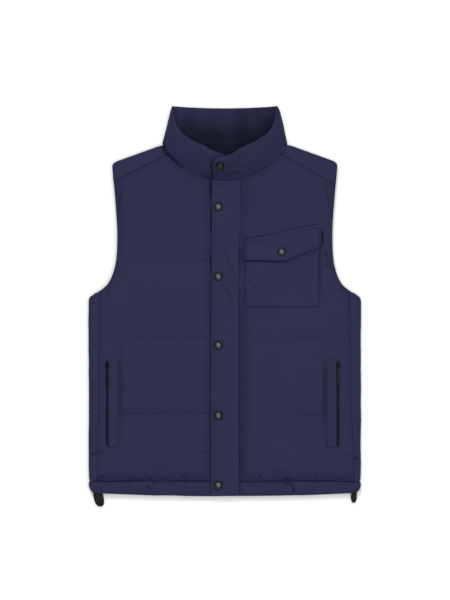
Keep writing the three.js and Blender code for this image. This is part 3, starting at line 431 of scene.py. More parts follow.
def puckers(along, distance, seed, spacing=13.0, reach=15.0):
    """Short ridges across a sewn line, which die out away from it."""
    skew = along + 0.35 * distance * np.sign(noise(along, 0 * along, 40, seed + 1))
    ridge = noise(skew, 0 * along, spacing, seed)
    ridge = ridge + 0.5 * noise(skew, 0 * along, spacing * 0.45, seed + 2)
    d = np.abs(distance)
    return ridge * np.exp(-d / reach) * d / (d + 2.5)


def furrowed(rows, x, y, rise):
    """Height of some creases, and the shade painted into them. rise is the share of its length in
    which each one sets in."""
    x, y = np.broadcast_arrays(x, y)
    z, dark = np.zeros(x.shape), np.zeros(x.shape)
    for c in rows:
        pad = 3 * c.width + abs(c.bow)
        near = (x > min(c.x0, c.x1) - pad) & (x < max(c.x0, c.x1) + pad)
        near &= (y > min(c.y0, c.y1) - pad) & (y < max(c.y0, c.y1) + pad)
        px, py = x[near] - c.x0, y[near] - c.y0
        dx, dy = c.x1 - c.x0, c.y1 - c.y0
        size = math.hypot(dx, dy)
        t = (px * dx + py * dy) / size**2
        off = (py * dx - px * dy) / size - c.bow * np.sin(np.pi * np.clip(t, 0, 1))
        fade = smoothstep(t, -0.15, rise) * (1 - smoothstep(t, 1 - 2 * rise, 1.15))
        r = (off / (c.width * (0.7 + 0.6 * np.clip(t, 0, 1)))) ** 2
        z[near] -= c.depth * fade * (1 - 0.55 * r) * np.exp(-0.8 * r)
        dark[near] = np.maximum(dark[near], SHADE_PER_MM * c.depth * fade * np.exp(-2 * r))
    return z, np.minimum(dark, 1)


def creased(piece, x, y):
    """Height of the listed creases of a piece, and the shade painted into them."""
    return furrowed([Crease(*row) for row in CREASES[piece]], x, y, FOLD_SETS_IN)


def pinches(line, pinch, seed, ways=(1, -1)):
    """Short creases that start on a sewn line and run out into the cloth on some of its sides."""
    rng = np.random.default_rng(seed)
    line = np.asarray(line, float)
    total = np.hypot(*np.diff(line, axis=0).T).sum()
    rows = []
    for way in ways:
        at = rng.uniform(0, pinch.spacing)
        while at < total:
            spot, ahead = share_along(line, np.array([at, at + 1]) / total)
            along = (ahead - spot) if at + 1 < total else (spot - share_along(line, (at - 1) / total))
            along = along / max(1e-6, math.hypot(*along))
            lean = rng.normal(0, pinch.lean)
            run = way * np.array([-along[1], along[0]]) + lean * along
            run *= pinch.length * rng.uniform(0.45, 1.5) / math.hypot(*run)
            start = spot + run * rng.uniform(0, 0.12)
            depth = pinch.depth * rng.uniform(0.15, 1.2) * rng.choice([1, 1, 1, -0.7])
            width = rng.uniform(1.5, 3.4)
            rows.append(Crease(*start, *(spot + run), depth, width, rng.normal(0, 0.9)))
            at += pinch.spacing * rng.uniform(0.35, 1.7)
    return rows


def lumps(x, y, seed, height):
    """The soft unevenness of a filled cloth."""
    wide = noise(x, y, 75, seed) * 0.75 + noise(x, y, 34, seed + 1) * 0.38
    return height * (wide + 0.16 * noise(x, y, 15, seed + 2) + 0.05 * noise(x, y, 7, seed + 3))


# The shape of each part of the cut


def hem_edge(x):
    """Y of the hem's lower edge, with its bow and its rounded corners."""
    a = np.abs(x)
    past = np.clip(a - (HALF_WIDTH - HEM_CORNER), 0, HEM_CORNER)
    return 0.9 + HEM_RISE * (a / HEM_RISE_AT) ** 2 + HEM_CORNER - np.sqrt(HEM_CORNER**2 - past**2)


def channel_y(channel, x):
    """Y of a channel line, which wanders a little."""
    t = np.clip((np.abs(x) - PLACKET_RIGHT) / (250 - PLACKET_RIGHT), 0, 1)
    wide = 0.9 * noise(x, 0 * x + channel.side, 26, 5)
    fine = 0.5 * noise(x, 0 * x + channel.centre, 9, 6)
    return lerp(channel.centre, channel.side, t) + (wide + fine)


def channel_depth(channel, x):
    """Share of its full depth that a channel line has across a front."""
    return np.interp(np.abs(x), *zip(*channel.depths))


def hem_wave(x):
    """How far the gathers push the hem seam up or down."""
    return 1.5 * noise(x, 0 * x, 52, 50) + 0.9 * noise(x, 0 * x, 17, 51)


def hem_shade(x):
    """How much shade is painted on the hem seam along its length."""
    shade = np.interp(x, (-40, 20, 28, 80, 100), (0.62, 0.5, 0.05, 0.12, 0.6))
    return np.clip(shade * (1 + noise(x, 0 * x, 30, 52) + 0.45 * noise(x, 0 * x, 9, 53)), 0.04, 1)


# How a front is drawn in at an edge: its line, the loft's draw, the groove's depth, how dark
# the shade painted on its line is, and how it is pinched
Edge = namedtuple("Edge", "line draw groove dark pinch")
FRONT_EDGES = {side: [
    Edge(SIDE_SEAM[side], SIDE_DRAW, 0.2, 0.22, Pinch(17, 13, 0.5)),
    Edge(ARMHOLE, ARMHOLE_DRAW, 0.0, 0.15, Pinch(24, 22, 0.5)),
    Edge(NECK, NECK_DRAW, 0.2, 0.2, Pinch(11, 24, 0.8)),
    Edge(SHOULDER_SEAM[side], SHOULDER_DRAW, 0.15, 0.25, Pinch(22, 12, 0.3)),
] for side in (-1, 1)}

# How dark and how wide the painted shade beside the placket is at places up each front
BESIDE_PLACKET = {
    -1: [
        (32, 0.8, 3.0), (44, 0.5, 1.6), (90, 0.5, 1.5), (150, 0.6, 1.6), (165, 0.95, 3.8),
        (180, 0.75, 2.0), (195, 0.6, 1.8), (212, 0.42, 1.5), (236, 0.85, 2.0), (262, 0.85, 2.0),
        (280, 0.45, 1.5), (305, 0.5, 1.6), (321, 0.8, 3.6), (333, 0.5, 1.6), (400, 0.42, 1.5),
        (428, 0.75, 1.8), (455, 0.8, 1.9), (472, 1.0, 4.4), (484, 0.85, 2.0), (505, 0.65, 1.8),
        (530, 0.7, 2.0), (548, 0.95, 2.6), (565, 0.8, 3.8), (590, 1.0, 6), (626, 0.9, 6.5),
    ],
    1: [
        (32, 0.4, 1.2), (60, 0.8, 1.9), (165, 0.85, 2.2), (190, 0.95, 2.2), (215, 0.7, 1.9),
        (240, 0.9, 2.0), (275, 0.5, 1.6), (330, 0.75, 1.8), (400, 0.7, 1.7), (430, 0.55, 1.6),
        (455, 0.5, 1.6), (470, 1.0, 2.6), (494, 0.85, 2.4), (508, 0.3, 1.3), (560, 0.26, 1.2),
        (630, 0.35, 1.2),
    ],
}


def front_face(x, y, side):
    """Height of a front's outer face, and the shade painted on each point at its sewn lines, creases
    and gaps. share is what is left of the full loft, relief is on top of that, and rows are the short
    creases."""
    a = side * x
    tight = sizes().groove / MM
    share = np.ones(np.shape(x))
    dark = np.zeros(np.shape(x))
    relief = lumps(x, y, 11, sizes().unevenness / MM)
    rows = []
    for n, channel in enumerate(CHANNELS[side]):
        d = y - channel_y(channel, x)
        pull = channel_depth(channel, x) * (0.85 + 0.3 * noise(x, y * 0, 34, 60 + n))
        share *= 1 - pull * drawn(np.abs(d), CHANNEL_DRAW)
        relief -= pull * tight * groove(d, 1.25)
        dark = np.maximum(dark, 0.7 * pull * groove(d, 1.0))
        run = side * np.linspace(PLACKET_RIGHT + 2, 247, 60)
        line = np.column_stack([run, channel_y(channel, run)])[channel_depth(channel, run) > 0.4]
        rows += pinches(line, CHANNEL_PINCH, 20 + 3 * n + side)
    for n, edge in enumerate(FRONT_EDGES[side]):
        d, along = nearest(edge.line, a, y)
        share *= 1 - drawn(d, edge.draw)
        relief -= edge.groove * tight * groove(d, 1.2)
        patchy = 0.8 + 0.5 * noise(along, 0 * along, 25, n)
        dark = np.maximum(dark, edge.dark * patchy * groove(d, 0.9))
        rows += pinches(edge.line * (side, 1), edge.pinch, 40 + 2 * n + side)
    if side < 0:  # the deep shade at the foot of the collar, towards the shoulder
        dark = np.maximum(dark, smoothstep(a, 72, 106) * groove(nearest(NECK, a, y)[0], 3.0))
    hem = y - HEM_SEAM - hem_wave(x)
    share *= 1 - drawn(hem, HEM_DRAW)
    relief -= tight * groove(hem, 1.6)
    # painted shade along the hem seam, and a wide painted shade just above it
    dark = darkest(dark, hem_shade(x) * groove(hem, 1.3), 0.16 * (1 - smoothstep(hem, 0, 16)))
    rows += pinches([(-260, HEM_SEAM + 1), (260, HEM_SEAM + 1)], HEM_PINCH, 54, (1,))
    edge_x = x_on(PLACKET_SEAM if side > 0 else PLACKET_EDGE, y)
    beside = side * (x - edge_x)
    share *= 1 - drawn(beside, PLACKET_DRAW[side])
    at, strength, width = zip(*BESIDE_PLACKET[side])
    patchy = np.interp(y, at, strength) * (0.9 + 0.35 * noise(y, 0 * y, 16, 57 + side))
    dark = np.maximum(dark, patchy * groove(np.maximum(0, beside), np.interp(y, at, width)))
    # painted shade in the wide valley beside the placket on the left front
    valley = (side > 0) * (1 - smoothstep(y, 350, 380)) * (1 - smoothstep(beside, 0, 21)) ** 0.8
    dark = np.maximum(dark, (0.32 + 0.08 * noise(x, y, 30, 59)) * valley)
    rows += pinches([(side * 29.5, 40), (side * 29.5, 625)], PLACKET_PINCH, 58 + side, (-side,))
    # painted shade: the upper fronts a little darker
    dark = np.maximum(dark, 0.09 * smoothstep(y, 440, 600) * (1 + 0.5 * noise(x, y, 60, 61)))
    quiet = smoothstep(beside, -1, 4)
    loft = np.maximum(FULL_LOFT * share, UNDERLAP_LOFT)
    for height, shade in (furrowed(rows, x, y, SETS_IN), creased("front", x, y)):
        relief += height
        dark = np.maximum(dark, shade)
    under = (side < 0) & (beside < LAPPED_FROM)
    z = np.where(under, UNDERLAP_LOFT, np.maximum(loft + relief * quiet, UNDERLAP_LOFT * 0.8))
    z -= TUCK_DROP * (side > 0) * smoothstep(-beside, 0, TUCK)
    return MEET + GAP + z, dark


def front_rows(centre, side):
    """Ends of a front's rows: on the side seam and armhole, and on the front edge and neck."""
    step = sizes().front_grid / MM
    low = np.arange(HEM_SEAM - LAP, ROW_FAN, step)
    seam, shoulder = SIDE_SEAM[side], SHOULDER_SEAM[side]
    edge = np.where(low < seam[-1, 1], x_on(seam, low) + LAP, x_on(ARMHOLE, low) - GAP)
    past_centre, below_shoulder = NECK[:, 0] > max(centre, 2), NECK[:, 1] < shoulder[1, 1] - 2
    neck = NECK[past_centre & below_shoulder]
    inner = np.vstack([[(centre, y_on(NECK, centre))], neck, shoulder[1:]])
    inward = np.array([0, NECK_MIDDLE_Y]) - inner
    inward[-1] = shoulder[1] - shoulder[0]
    inner = inner + TUCK * inward / np.hypot(*inward.T)[:, None]
    inner = np.vstack([[(centre, ROW_FAN)], inner])
    inner[1, 0] = centre
    shares = np.linspace(0, 1, FAN_ROWS)
    ys = lerp(ROW_FAN, shoulder[0, 1] + LAP, shares)
    outer = np.vstack([np.stack([edge, low], 1), np.stack([x_on(ARMHOLE, ys) - GAP, ys], 1)])
    inner = np.vstack([np.stack([0 * low + centre, low], 1), share_along(inner, shares)])
    return outer, inner


def edge_shares(count, tight=0.35):
    """Shares from 0 to 1, closer together at both ends."""
    t = np.linspace(0, 1, count)
    return lerp(t, t * t * (3 - 2 * t), tight)


def grid_between(outer, inner, shares):
    """A grid of points whose rows run from outer to inner."""
    return outer[:, None] + (inner - outer)[:, None] * shares[None, :, None]


def rim_distance(grid):
    """Distance of each point of a plan grid from the grid's edge."""
    rim = np.concatenate([grid[0], grid[1:, -1], grid[-1, -2::-1], grid[-2:0:-1, 0]])
    closed = np.vstack([rim, rim[:1]])
    return nearest(closed[::2], grid[..., 0], grid[..., 1])[0]


def rolled(distance, radius):
    """How far an edge rolls down at a distance from it, as a share of its radius."""
    t = np.clip(distance / radius, 0, 1)
    return 1 - np.sqrt(1 - (1 - t) ** 2)


# Meshes


def grid_faces(rows, columns, start=0):
    """Quads of a grid of points."""
    index = np.arange(rows * columns).reshape(rows, columns) + start
    quads = np.stack([index[:-1, :-1], index[:-1, 1:], index[1:, 1:], index[1:, :-1]], -1)
    return quads.reshape(-1, 4)


def rim_index(rows, columns):
    """Indices round the edge of a grid, in order."""
    index = np.arange(rows * columns).reshape(rows, columns)
    return np.concatenate([index[0], index[1:, -1], index[-1, -2::-1], index[-2:0:-1, 0]])


def closed_sheet(outer, inner):
    """Points and faces of a wall between two grids of the same size."""
    rows, columns = outer.shape[:2]
    count = rows * columns
    rim = rim_index(rows, columns)
    after = np.roll(rim, -1)
    sides = np.stack([rim, after, after + count, rim + count], -1)
    faces = [grid_faces(rows, columns), grid_faces(rows, columns, count)[:, ::-1], sides]
    return np.vstack([outer.reshape(-1, 3), inner.reshape(-1, 3)]), np.vstack(faces).tolist()


def laid(x, y, z, under):
    """Points and faces of a thin piece between two heights over the same plan."""
    return closed_sheet(np.stack([x, y, z], -1), np.stack([x, y, under], -1))


def flat_based(top, base):
    """Points and faces of a grid with walls down to a flat underside."""
    rows, columns = top.shape[:2]
    rim = rim_index(rows, columns)
    foot = top.reshape(-1, 3)[rim].copy()
    foot[:, 2] = base
    count = rows * columns
    low = np.arange(len(rim)) + count
    sides = np.stack([rim, np.roll(rim, -1), np.roll(low, -1), low], -1)
    right = low[columns - 1: columns - 1 + rows]
    left = np.concatenate([low[:1], low[: 2 * columns + rows - 4: -1]])[:rows]
    across = np.stack([left[1:-2], left[2:-1], right[2:-1], right[1:-2]], -1)
    first = [left[1], *low[:columns], right[1]]
    last = [right[-2], *low[columns + rows - 2: 2 * columns + rows - 2], left[-2]]
    faces = np.vstack([grid_faces(rows, columns), sides, across]).tolist()
    faces += [[int(i) for i in first], [int(i) for i in last]]
    return np.vstack([top.reshape(-1, 3), foot]), faces


def joined(*parts):
    """Several sets of points and faces as one."""
    points, faces, start = [], [], 0
    for part_points, part_faces in parts:
        points.append(part_points)
        faces += [[i + start for i in face] for face in part_faces]
        start += len(part_points)
    return np.vstack(points), faces


def new_object(name, data):
    """An object of some data, in the scene."""
    made = bpy.data.objects.new(name, data)
    bpy.context.scene.collection.objects.link(made)
    return made


def make_piece(name, shape, look, seam=None, nodes=()):
    """A finished piece of the garment from points and faces in millimetres. It stands for the
    named nodes and takes the finish it is given."""
    points, faces = shape
    mesh = bpy.data.meshes.new(name)
    mesh.from_pydata(placed(points).tolist(), [], faces)
    # seam holds the shade painted on each point: sewn lines, creases and shadows
    if seam is not None:
        values = np.zeros(len(points), np.float32)
        values[: np.size(seam)] = np.ravel(seam)
        mesh.attributes.new("seam", "FLOAT", "POINT").data.foreach_set("value", values)
    bm = bmesh.new()
    bm.from_mesh(mesh)
    bmesh.ops.recalc_face_normals(bm, faces=bm.faces)
    bm.to_mesh(mesh)
    bm.free()
    mesh.polygons.foreach_set("use_smooth", [True] * len(mesh.polygons))
    mesh.materials.append(look)
    piece = new_object(name, mesh)
    settle(piece, "garment", nodes)
    return piece


def cloth_piece(node, shape, seam):
    """A piece of shell cloth that stands for its node."""
    return make_piece(node + "_cloth", shape, finish("shell cloth"), seam, nodes=[node])


def settle(piece, body, nodes):
    """Says what a piece rides on and hides the nodes it stands for."""
    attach(piece, body)
    if nodes:
        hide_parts(*nodes)


def tree_of(*pieces):
    """A search tree over the faces of some pieces, in the frame's metres."""
    points, faces = [], []
    for piece in pieces:
        start = len(points)
        points += [v.co.copy() for v in piece.data.vertices]
        faces += [[i + start for i in p.vertices] for p in piece.data.polygons]
    return BVHTree.FromPolygons(points, faces)


def height_at(tree, x, y):
    """Height of the uppermost face under each point, in millimetres, or MEET beside them all."""
    spots = placed(np.stack([np.ravel(x), np.ravel(y), np.full(np.size(x), 200.0)], -1))
    down = Vector((0, 0, -1))
    hits = [tree.ray_cast(Vector(spot), down)[0] for spot in spots]
    return np.array([MEET if hit is None else hit.z / MM for hit in hits]).reshape(np.shape(x))


def softened(z, rounds):
    """Heights of a grid after cloth has bridged the small dips under it."""
    soft = z.copy()
    for _ in range(rounds):
        padded = np.pad(soft, 1, mode="edge")
        near = (padded[:-2, 1:-1], padded[2:, 1:-1], padded[1:-1, :-2], padded[1:-1, 2:])
        soft = np.maximum((sum(near) + 2 * soft) / 6, z)
    return soft


# Shader nodes as sums and products


class Wire:
    """A shader socket that takes part in sums and products."""

    def __init__(self, finish, socket):
        self.finish, self.socket = finish, socket

    def __add__(self, other):
        return self.finish.math("ADD", self, other)

    def __radd__(self, other):
        return self.finish.math("ADD", other, self)

    def __sub__(self, other):
        return self.finish.math("SUBTRACT", self, other)

    def __mul__(self, other):
        return self.finish.math("MULTIPLY", self, other)


class Finish:
    """A procedural material, built node by node."""

    def __init__(self, name):
        self.material = bpy.data.materials.new(name)
        self.material.use_nodes = True
        self.nodes = self.material.node_tree.nodes
        self.nodes.clear()

    def node(self, kind, settings=None, sockets=None):
        """A node of a kind, with its settings made first and then its sockets."""
        made = self.nodes.new(kind)
        for name, value in (settings or {}).items():
            setattr(made, name, value)
        for name, value in (sockets or {}).items():
            if isinstance(value, Wire):
                self.material.node_tree.links.new(value.socket, made.inputs[name])
            else:
                made.inputs[name].default_value = value
        return made

    def out(self, made, name=0):
        """An output of a node as a wire."""
        return Wire(self, made.outputs[name])

    def math(self, operation, a, b=0.0):
        """A Math node on numbers or wires."""
        return self.out(self.node("ShaderNodeMath", {"operation": operation}, {0: a, 1: b}))

    def mix(self, factor, a, b):
        """A colour between two others."""
        a, b = ((*v, 1) if isinstance(v, tuple) else v for v in (a, b))
        return self.out(self.node("ShaderNodeMix", {"data_type": "RGBA"}, {0: factor, 6: a, 7: b}), 2)

    def place(self):
        """Object coordinates, whole and as three numbers."""
        whole = self.out(self.node("ShaderNodeTexCoord"), "Object")
        parts = self.node("ShaderNodeSeparateXYZ", sockets={0: whole})
        return whole, [self.out(parts, k) for k in range(3)]

    def seam(self):
        """How much painted shade each point gets, from the mesh."""
        return self.out(self.node("ShaderNodeAttribute", {"attribute_name": "seam"}), "Fac")

    def cloud(self, place, scale, detail=2.0, rough=0.5):
        """Noise of a scale, from 0 to 1."""
        sockets = {"Vector": place, "Scale": scale, "Detail": detail, "Roughness": rough}
        return self.out(self.node("ShaderNodeTexNoise", sockets=sockets), "Fac")

    def bump(self, height, distance, strength=1.0, normal=None):
        """A bump of a height in metres."""
        sockets = {"Height": height, "Distance": distance, "Strength": strength}
        if normal is not None:
            sockets["Normal"] = normal
        return self.out(self.node("ShaderNodeBump", sockets=sockets), "Normal")

    def close(self, sockets):
        """Ends the material in one principled shader."""
        shader = self.out(self.node("ShaderNodeBsdfPrincipled", sockets=sockets), "BSDF")
        self.node("ShaderNodeOutputMaterial", sockets={"Surface": shader})
        return self.material


def rgb(colour):
    """A colour setting as a plain tuple."""
    return tuple(float(c) for c in colour)


def scaled(colour, share):
    """A colour made lighter or darker."""
    return tuple(c * share for c in rgb(colour))


def woven_height(f, x, y, z, pitch):
    """A plain weave: threads that go over and under each other."""
    turn = 2 * math.pi / pitch
    warp = f.math("SINE", (x + z * 0.8) * turn)
    weft = f.math("SINE", (y + z * 0.8) * turn)
    return warp * weft


def shell_cloth(name, colour, painted_shade_colour):
    """Navy shell cloth: a fine matt weave, a little uneven, with shade painted from the mesh in its sewn
    lines, creases and shadows.
    """
    f = Finish(name)
    whole, (x, y, z) = f.place()
    seam = f.seam()
    blotch = f.cloud(whole, 9.0, 3.0)
    grain = f.cloud(whole, 420.0, 2.0)
    fold = f.cloud(whole, 95.0, 3.0, 0.55)
    tone = f.mix(blotch, scaled(colour, 0.9), scaled(colour, 1.1))
    tone = f.mix(grain * 0.3, tone, scaled(colour, 1.35))
    # painted shade, where the mesh's seam attribute asks for it
    tone = f.mix(seam * 0.85, tone, rgb(painted_shade_colour))
    weave = f.bump(woven_height(f, x, y, z, 0.0007), 0.00004, 0.6)
    rumple = f.bump(fold, 0.0009, 0.35, weave)
    return f.close({
        "Base Color": tone, "Roughness": 0.6 + blotch * 0.12 - grain * 0.06, "Normal": rumple,
        "Specular IOR Level": 0.05, "Sheen Weight": 0.01, "Sheen Roughness": 0.5,
        "Sheen Tint": (0.5, 0.55, 0.9, 1),
    })


def tape_cloth(name, colour):
    """Zip tape: a herringbone weave with a dull face."""
    f = Finish(name)
    whole, (x, y, z) = f.place()
    slant = f.math("PINGPONG", x, 0.0011) + y
    ribs = f.math("SINE", slant * (2 * math.pi / 0.0008))
    tone = f.mix(f.cloud(whole, 300.0), scaled(colour, 0.8), scaled(colour, 1.3))
    return f.close({
        "Base Color": tone, "Roughness": 0.7 + ribs * 0.06, "Normal": f.bump(ribs, 0.0001, 0.7),
        "Specular IOR Level": 0.1,
    })


def thread_finish(name, colour):
    """Sewing thread: twisted, with a faint lustre."""
    f = Finish(name)
    whole, (x, y, z) = f.place()
    twist = f.math("SINE", (x + y * 1.3 + z) * (2 * math.pi / 0.0005))
    tone = f.mix(f.cloud(whole, 160.0), scaled(colour, 0.8), scaled(colour, 1.4))
    return f.close({
        "Base Color": tone, "Roughness": 0.5 + twist * 0.08, "Normal": f.bump(twist, 0.00005, 0.6),
        "Specular IOR Level": 0.25,
    })


def metal_finish(name, colour, worn, rough):
    """Aged plated metal: brushed, spotted and lighter where worn, with shade painted where the mesh asks
    for it.
    """
    f = Finish(name)
    whole, (x, y, z) = f.place()
    spots = f.cloud(whole, 650.0, 4.0, 0.6)
    brushed = f.cloud(whole, 2400.0, 2.0)
    tone = f.mix(spots, scaled(colour, 0.65), scaled(colour, worn))
    # painted shade from the mesh's seam attribute
    tone = f.mix(f.seam(), tone, scaled(colour, 0.16))
    return f.close({
        "Base Color": tone, "Metallic": 1.0, "Roughness": rough + spots * 0.22 - brushed * 0.06,
        "Normal": f.bump(brushed, 0.00003, 0.5, f.bump(spots, 0.00006, 0.4)),
    })


def moulded_finish(name, colour, rough):
    """Moulded plastic with a fine matt grain, with shade painted down between its ribs."""
    f = Finish(name)
    whole, _ = f.place()
    grain = f.cloud(whole, 1500.0, 2.0)
    dull = f.cloud(whole, 120.0, 3.0)
    tone = f.mix(dull, scaled(colour, 0.85), scaled(colour, 1.3))
    # painted shade where the mesh asks for it
    tone = f.mix(f.seam(), tone, scaled(colour, 0.1))
    return f.close({
        "Base Color": tone, "Roughness": rough + dull * 0.12, "Normal": f.bump(grain, 0.00004, 0.6),
        "Specular IOR Level": 0.14,
    })


def floor_finish(name, colour):
    """A pale matt studio floor."""
    f = Finish(name)
    whole, _ = f.place()
    haze = f.cloud(whole, 3.0, 2.0)
    tone = f.mix(haze, scaled(colour, 0.995), scaled(colour, 1.0))
    return f.close({"Base Color": tone, "Roughness": 0.9, "Specular IOR Level": 0.1})


def finish(name):
    """The vest's materials, each made when it is first asked for."""
    if name in bpy.data.materials:
        return bpy.data.materials[name]
    c = colours()
    makers = {
        "shell cloth": lambda: shell_cloth(name, c.shell, c.seam),
        "zip tape": lambda: tape_cloth(name, c.tape),
        "thread": lambda: thread_finish(name, c.thread),
        "zip coil": lambda: moulded_finish(name, c.coil, 0.35),
        "gunmetal": lambda: metal_finish(name, c.snap, 1.9, 0.3),
        "antique brass": lambda: metal_finish(name, c.brass, 1.25, 0.42),
        "toggle plastic": lambda: moulded_finish(name, c.toggle, 0.38),
        "studio floor": lambda: floor_finish(name, c.floor),
    }
    return makers[name]()


# Geometry Nodes: a small bead repeated along a line, for stitches and zip coils


def bead_tree():
    """The tree that lays beads along a curve, made once."""
    name = "Beads along a line"
    if name in bpy.data.node_groups:
        return bpy.data.node_groups[name]
    tree = bpy.data.node_groups.new(name, "GeometryNodeTree")
    tree.interface.new_socket("Line", in_out="INPUT", socket_type="NodeSocketGeometry")
    for label, kind in (
        ("Pitch", "Float"), ("Length", "Float"), ("Width", "Float"), ("Height", "Float"),
        ("Sides", "Int"), ("Unevenness", "Float"), ("Seed", "Int"), ("Finish", "Material"),
    ):
        tree.interface.new_socket(label, in_out="INPUT", socket_type=f"NodeSocket{kind}")
    tree.interface.new_socket("Beads", in_out="OUTPUT", socket_type="NodeSocketGeometry")

    def add(kind, links=None, **settings):
        made = tree.nodes.new(kind)
        for key, value in settings.items():
            setattr(made, key, value)
        for socket, value in (links or {}).items():
            if isinstance(value, bpy.types.NodeSocket):
                tree.links.new(value, made.inputs[socket])
            else:
                made.inputs[socket].default_value = value
        return made.outputs

    given = add("NodeGroupInput")
    points = add(
        "GeometryNodeResampleCurve", {"Curve": given["Line"], "Length": given["Pitch"]}, mode="LENGTH",
    )
    ball = add("GeometryNodeMeshUVSphere", {"Segments": given["Sides"], "Rings": 4, "Radius": 0.5})
    size = add("ShaderNodeCombineXYZ", {"X": given["Length"], "Y": given["Width"], "Z": given["Height"]})
    bead = add("GeometryNodeTransform", {"Geometry": ball["Mesh"], "Scale": size["Vector"]})
    tangent = add("GeometryNodeInputTangent")
    along = add("FunctionNodeAlignRotationToVector", {"Vector": tangent["Tangent"]}, axis="X")
    upright = add(
        "FunctionNodeAlignRotationToVector",
        {"Rotation": along["Rotation"], "Vector": (0.0, 0.0, 1.0)}, axis="Z", pivot_axis="X",
    )
    low = add("ShaderNodeMath", {0: 1.0, 1: given["Unevenness"]}, operation="SUBTRACT")
    chance = add(
        "FunctionNodeRandomValue", {"Min": low["Value"], "Max": 1.0, "Seed": given["Seed"]},
        data_type="FLOAT",
    )
    grow = next(o for o in chance if o.type == "VALUE" and o.enabled)
    strewn = add("GeometryNodeInstanceOnPoints", {
        "Points": points["Curve"], "Instance": bead["Geometry"],
        "Rotation": upright["Rotation"], "Scale": grow,
    })
    real = add("GeometryNodeRealizeInstances", {"Geometry": strewn["Instances"]})
    smooth = add("GeometryNodeSetShadeSmooth", {"Geometry": real["Geometry"]})
    dressed = add(
        "GeometryNodeSetMaterial", {"Geometry": smooth["Geometry"], "Material": given["Finish"]},
    )
    add("NodeGroupOutput", {"Beads": dressed["Geometry"]})
    return tree


def beads(
    name, lines, look, pitch, length, width, height, sides=5, unevenness=0.12, seed=3, slot="shell",
):
    """A mesh of beads along some lines of points in metres."""
    curve = bpy.data.curves.new(name + "_lines", "CURVE")
    curve.dimensions = "3D"
    for line in lines:
        spline = curve.splines.new("POLY")
        spline.points.add(len(line) - 1)
        spline.points.foreach_set("co", np.column_stack([line, np.ones(len(line))]).ravel())
    carrier = new_object(name + "_lines", curve)
    tree = bead_tree()
    modifier = carrier.modifiers.new("Beads", "NODES")
    modifier.node_group = tree
    values = {
        "Pitch": pitch, "Length": length, "Width": width, "Height": height, "Sides": sides,
        "Unevenness": unevenness, "Seed": seed, "Finish": look,
    }
    for item in tree.interface.items_tree:
        if item.item_type == "SOCKET" and item.in_out == "INPUT" and item.name in values:
            modifier[item.identifier] = values[item.name]
    seen = carrier.evaluated_get(bpy.context.evaluated_depsgraph_get())
    mesh = bpy.data.meshes.new_from_object(seen)
    mesh.name = name
    bpy.data.objects.remove(carrier)
    piece = new_object(name, mesh)
    settle(piece, "garment", ())
    return piece


def sewn(name, lines, tree, seed, sunk=0.35, size=1.0):
    """Stitches along some plan lines, laid on the pieces of a search tree."""
    s = sizes()
    threads = []
    for line in lines:
        line = np.asarray(line, float)
        count = max(8, int(np.hypot(*np.diff(line, axis=0).T).sum() / STITCH_STEP))
        spots = share_along(line, np.linspace(0, 1, count))
        z = height_at(tree, spots[:, 0], spots[:, 1])
        z = z + s.thread / MM * (0.5 - sunk)
        threads.append(placed(np.column_stack([spots, z])))
    return beads(
        name, threads, finish("thread"), s.stitch_pitch, s.stitch_length * size, s.thread * size,
        s.thread * size, seed=seed,
    )


# Operators, one for each piece or group of like pieces


class VEST_OT_stage(bpy.types.Operator):
    """Floor, soft studio light and the camera straight above"""

    bl_idname = "vest.stage"
    bl_label = "Stage"

    PHOTO_SIZE = (450, 600)
    PIXEL = 2.0  # millimetres of the vest in a pixel of the photograph
    CENTRE = (225.0, 300.0)  # middle of the photograph, in its pixels
    HEM_PIXEL = 496.6
    AXIS_PIXEL = 224.8
    GARMENT_HEIGHT = 20.0  # where that scale is true, in millimetres
    CAMERA_HEIGHT = 8.0  # above that, in metres
    FLOOR_SIZE, FLOOR_DROP = 6, 0.0002  # metres
    SKY = 0.42  # strength of the white surroundings
    LIGHTS = (  # name, place and diameter in metres, and watts
        ("top", (0.45, -0.35, 4.8), 3.6, 128),
        ("key", (-0.5, 2.5, 4.6), 1.7, 100),
    )

    def execute(self, context):
        self.make_floor()
        self.make_camera()
        self.make_lights()
        return {"FINISHED"}

    def make_floor(self):
        """The floor, just under the vest."""
        bm = bmesh.new()
        bmesh.ops.create_grid(bm, x_segments=2, y_segments=2, size=self.FLOOR_SIZE)
        bmesh.ops.translate(bm, verts=bm.verts, vec=(0, 0, -self.FLOOR_DROP))
        mesh = bpy.data.meshes.new("floor")
        bm.to_mesh(mesh)
        bm.free()
        mesh.materials.append(finish("studio floor"))
        floor = new_object("floor", mesh)

    def make_camera(self):
        """A camera that shows a pixel of the photograph as one of the render's."""
        camera = new_object("camera", bpy.data.cameras.new("camera"))
        x = (self.CENTRE[0] - self.AXIS_PIXEL) * self.PIXEL
        y = (self.HEM_PIXEL - self.CENTRE[1]) * self.PIXEL
        spot = placed((x, y, self.GARMENT_HEIGHT))
        camera.location = (spot[0], spot[1], spot[2] + self.CAMERA_HEIGHT)
        tall = self.PHOTO_SIZE[1] * self.PIXEL * MM
        camera.data.sensor_width = 36
        camera.data.lens = camera.data.sensor_width * self.CAMERA_HEIGHT / tall
        camera.data.clip_end = 20
        bpy.context.scene.camera = camera

    def make_lights(self):
        """White surroundings and two soft lamps."""
        world = bpy.data.worlds.new("studio")
        world.use_nodes = True
        sky = world.node_tree.nodes["Background"].inputs
        sky["Color"].default_value = (1, 1, 1, 1)
        sky["Strength"].default_value = self.SKY
        bpy.context.scene.world = world
        bpy.context.scene.view_settings.view_transform = "Standard"
        for light in self.LIGHTS:
            self.make_light(*light)

    def make_light(self, name, place, size, power):
        """A round lamp that faces the vest."""
        light = bpy.data.lights.new(name, "AREA")
        light.shape, light.size, light.energy = "DISK", size, power
        lamp = new_object(name, light)
        lamp.location = place
        lamp.rotation_euler = (-Vector(place)).to_track_quat("-Z", "Y").to_euler()


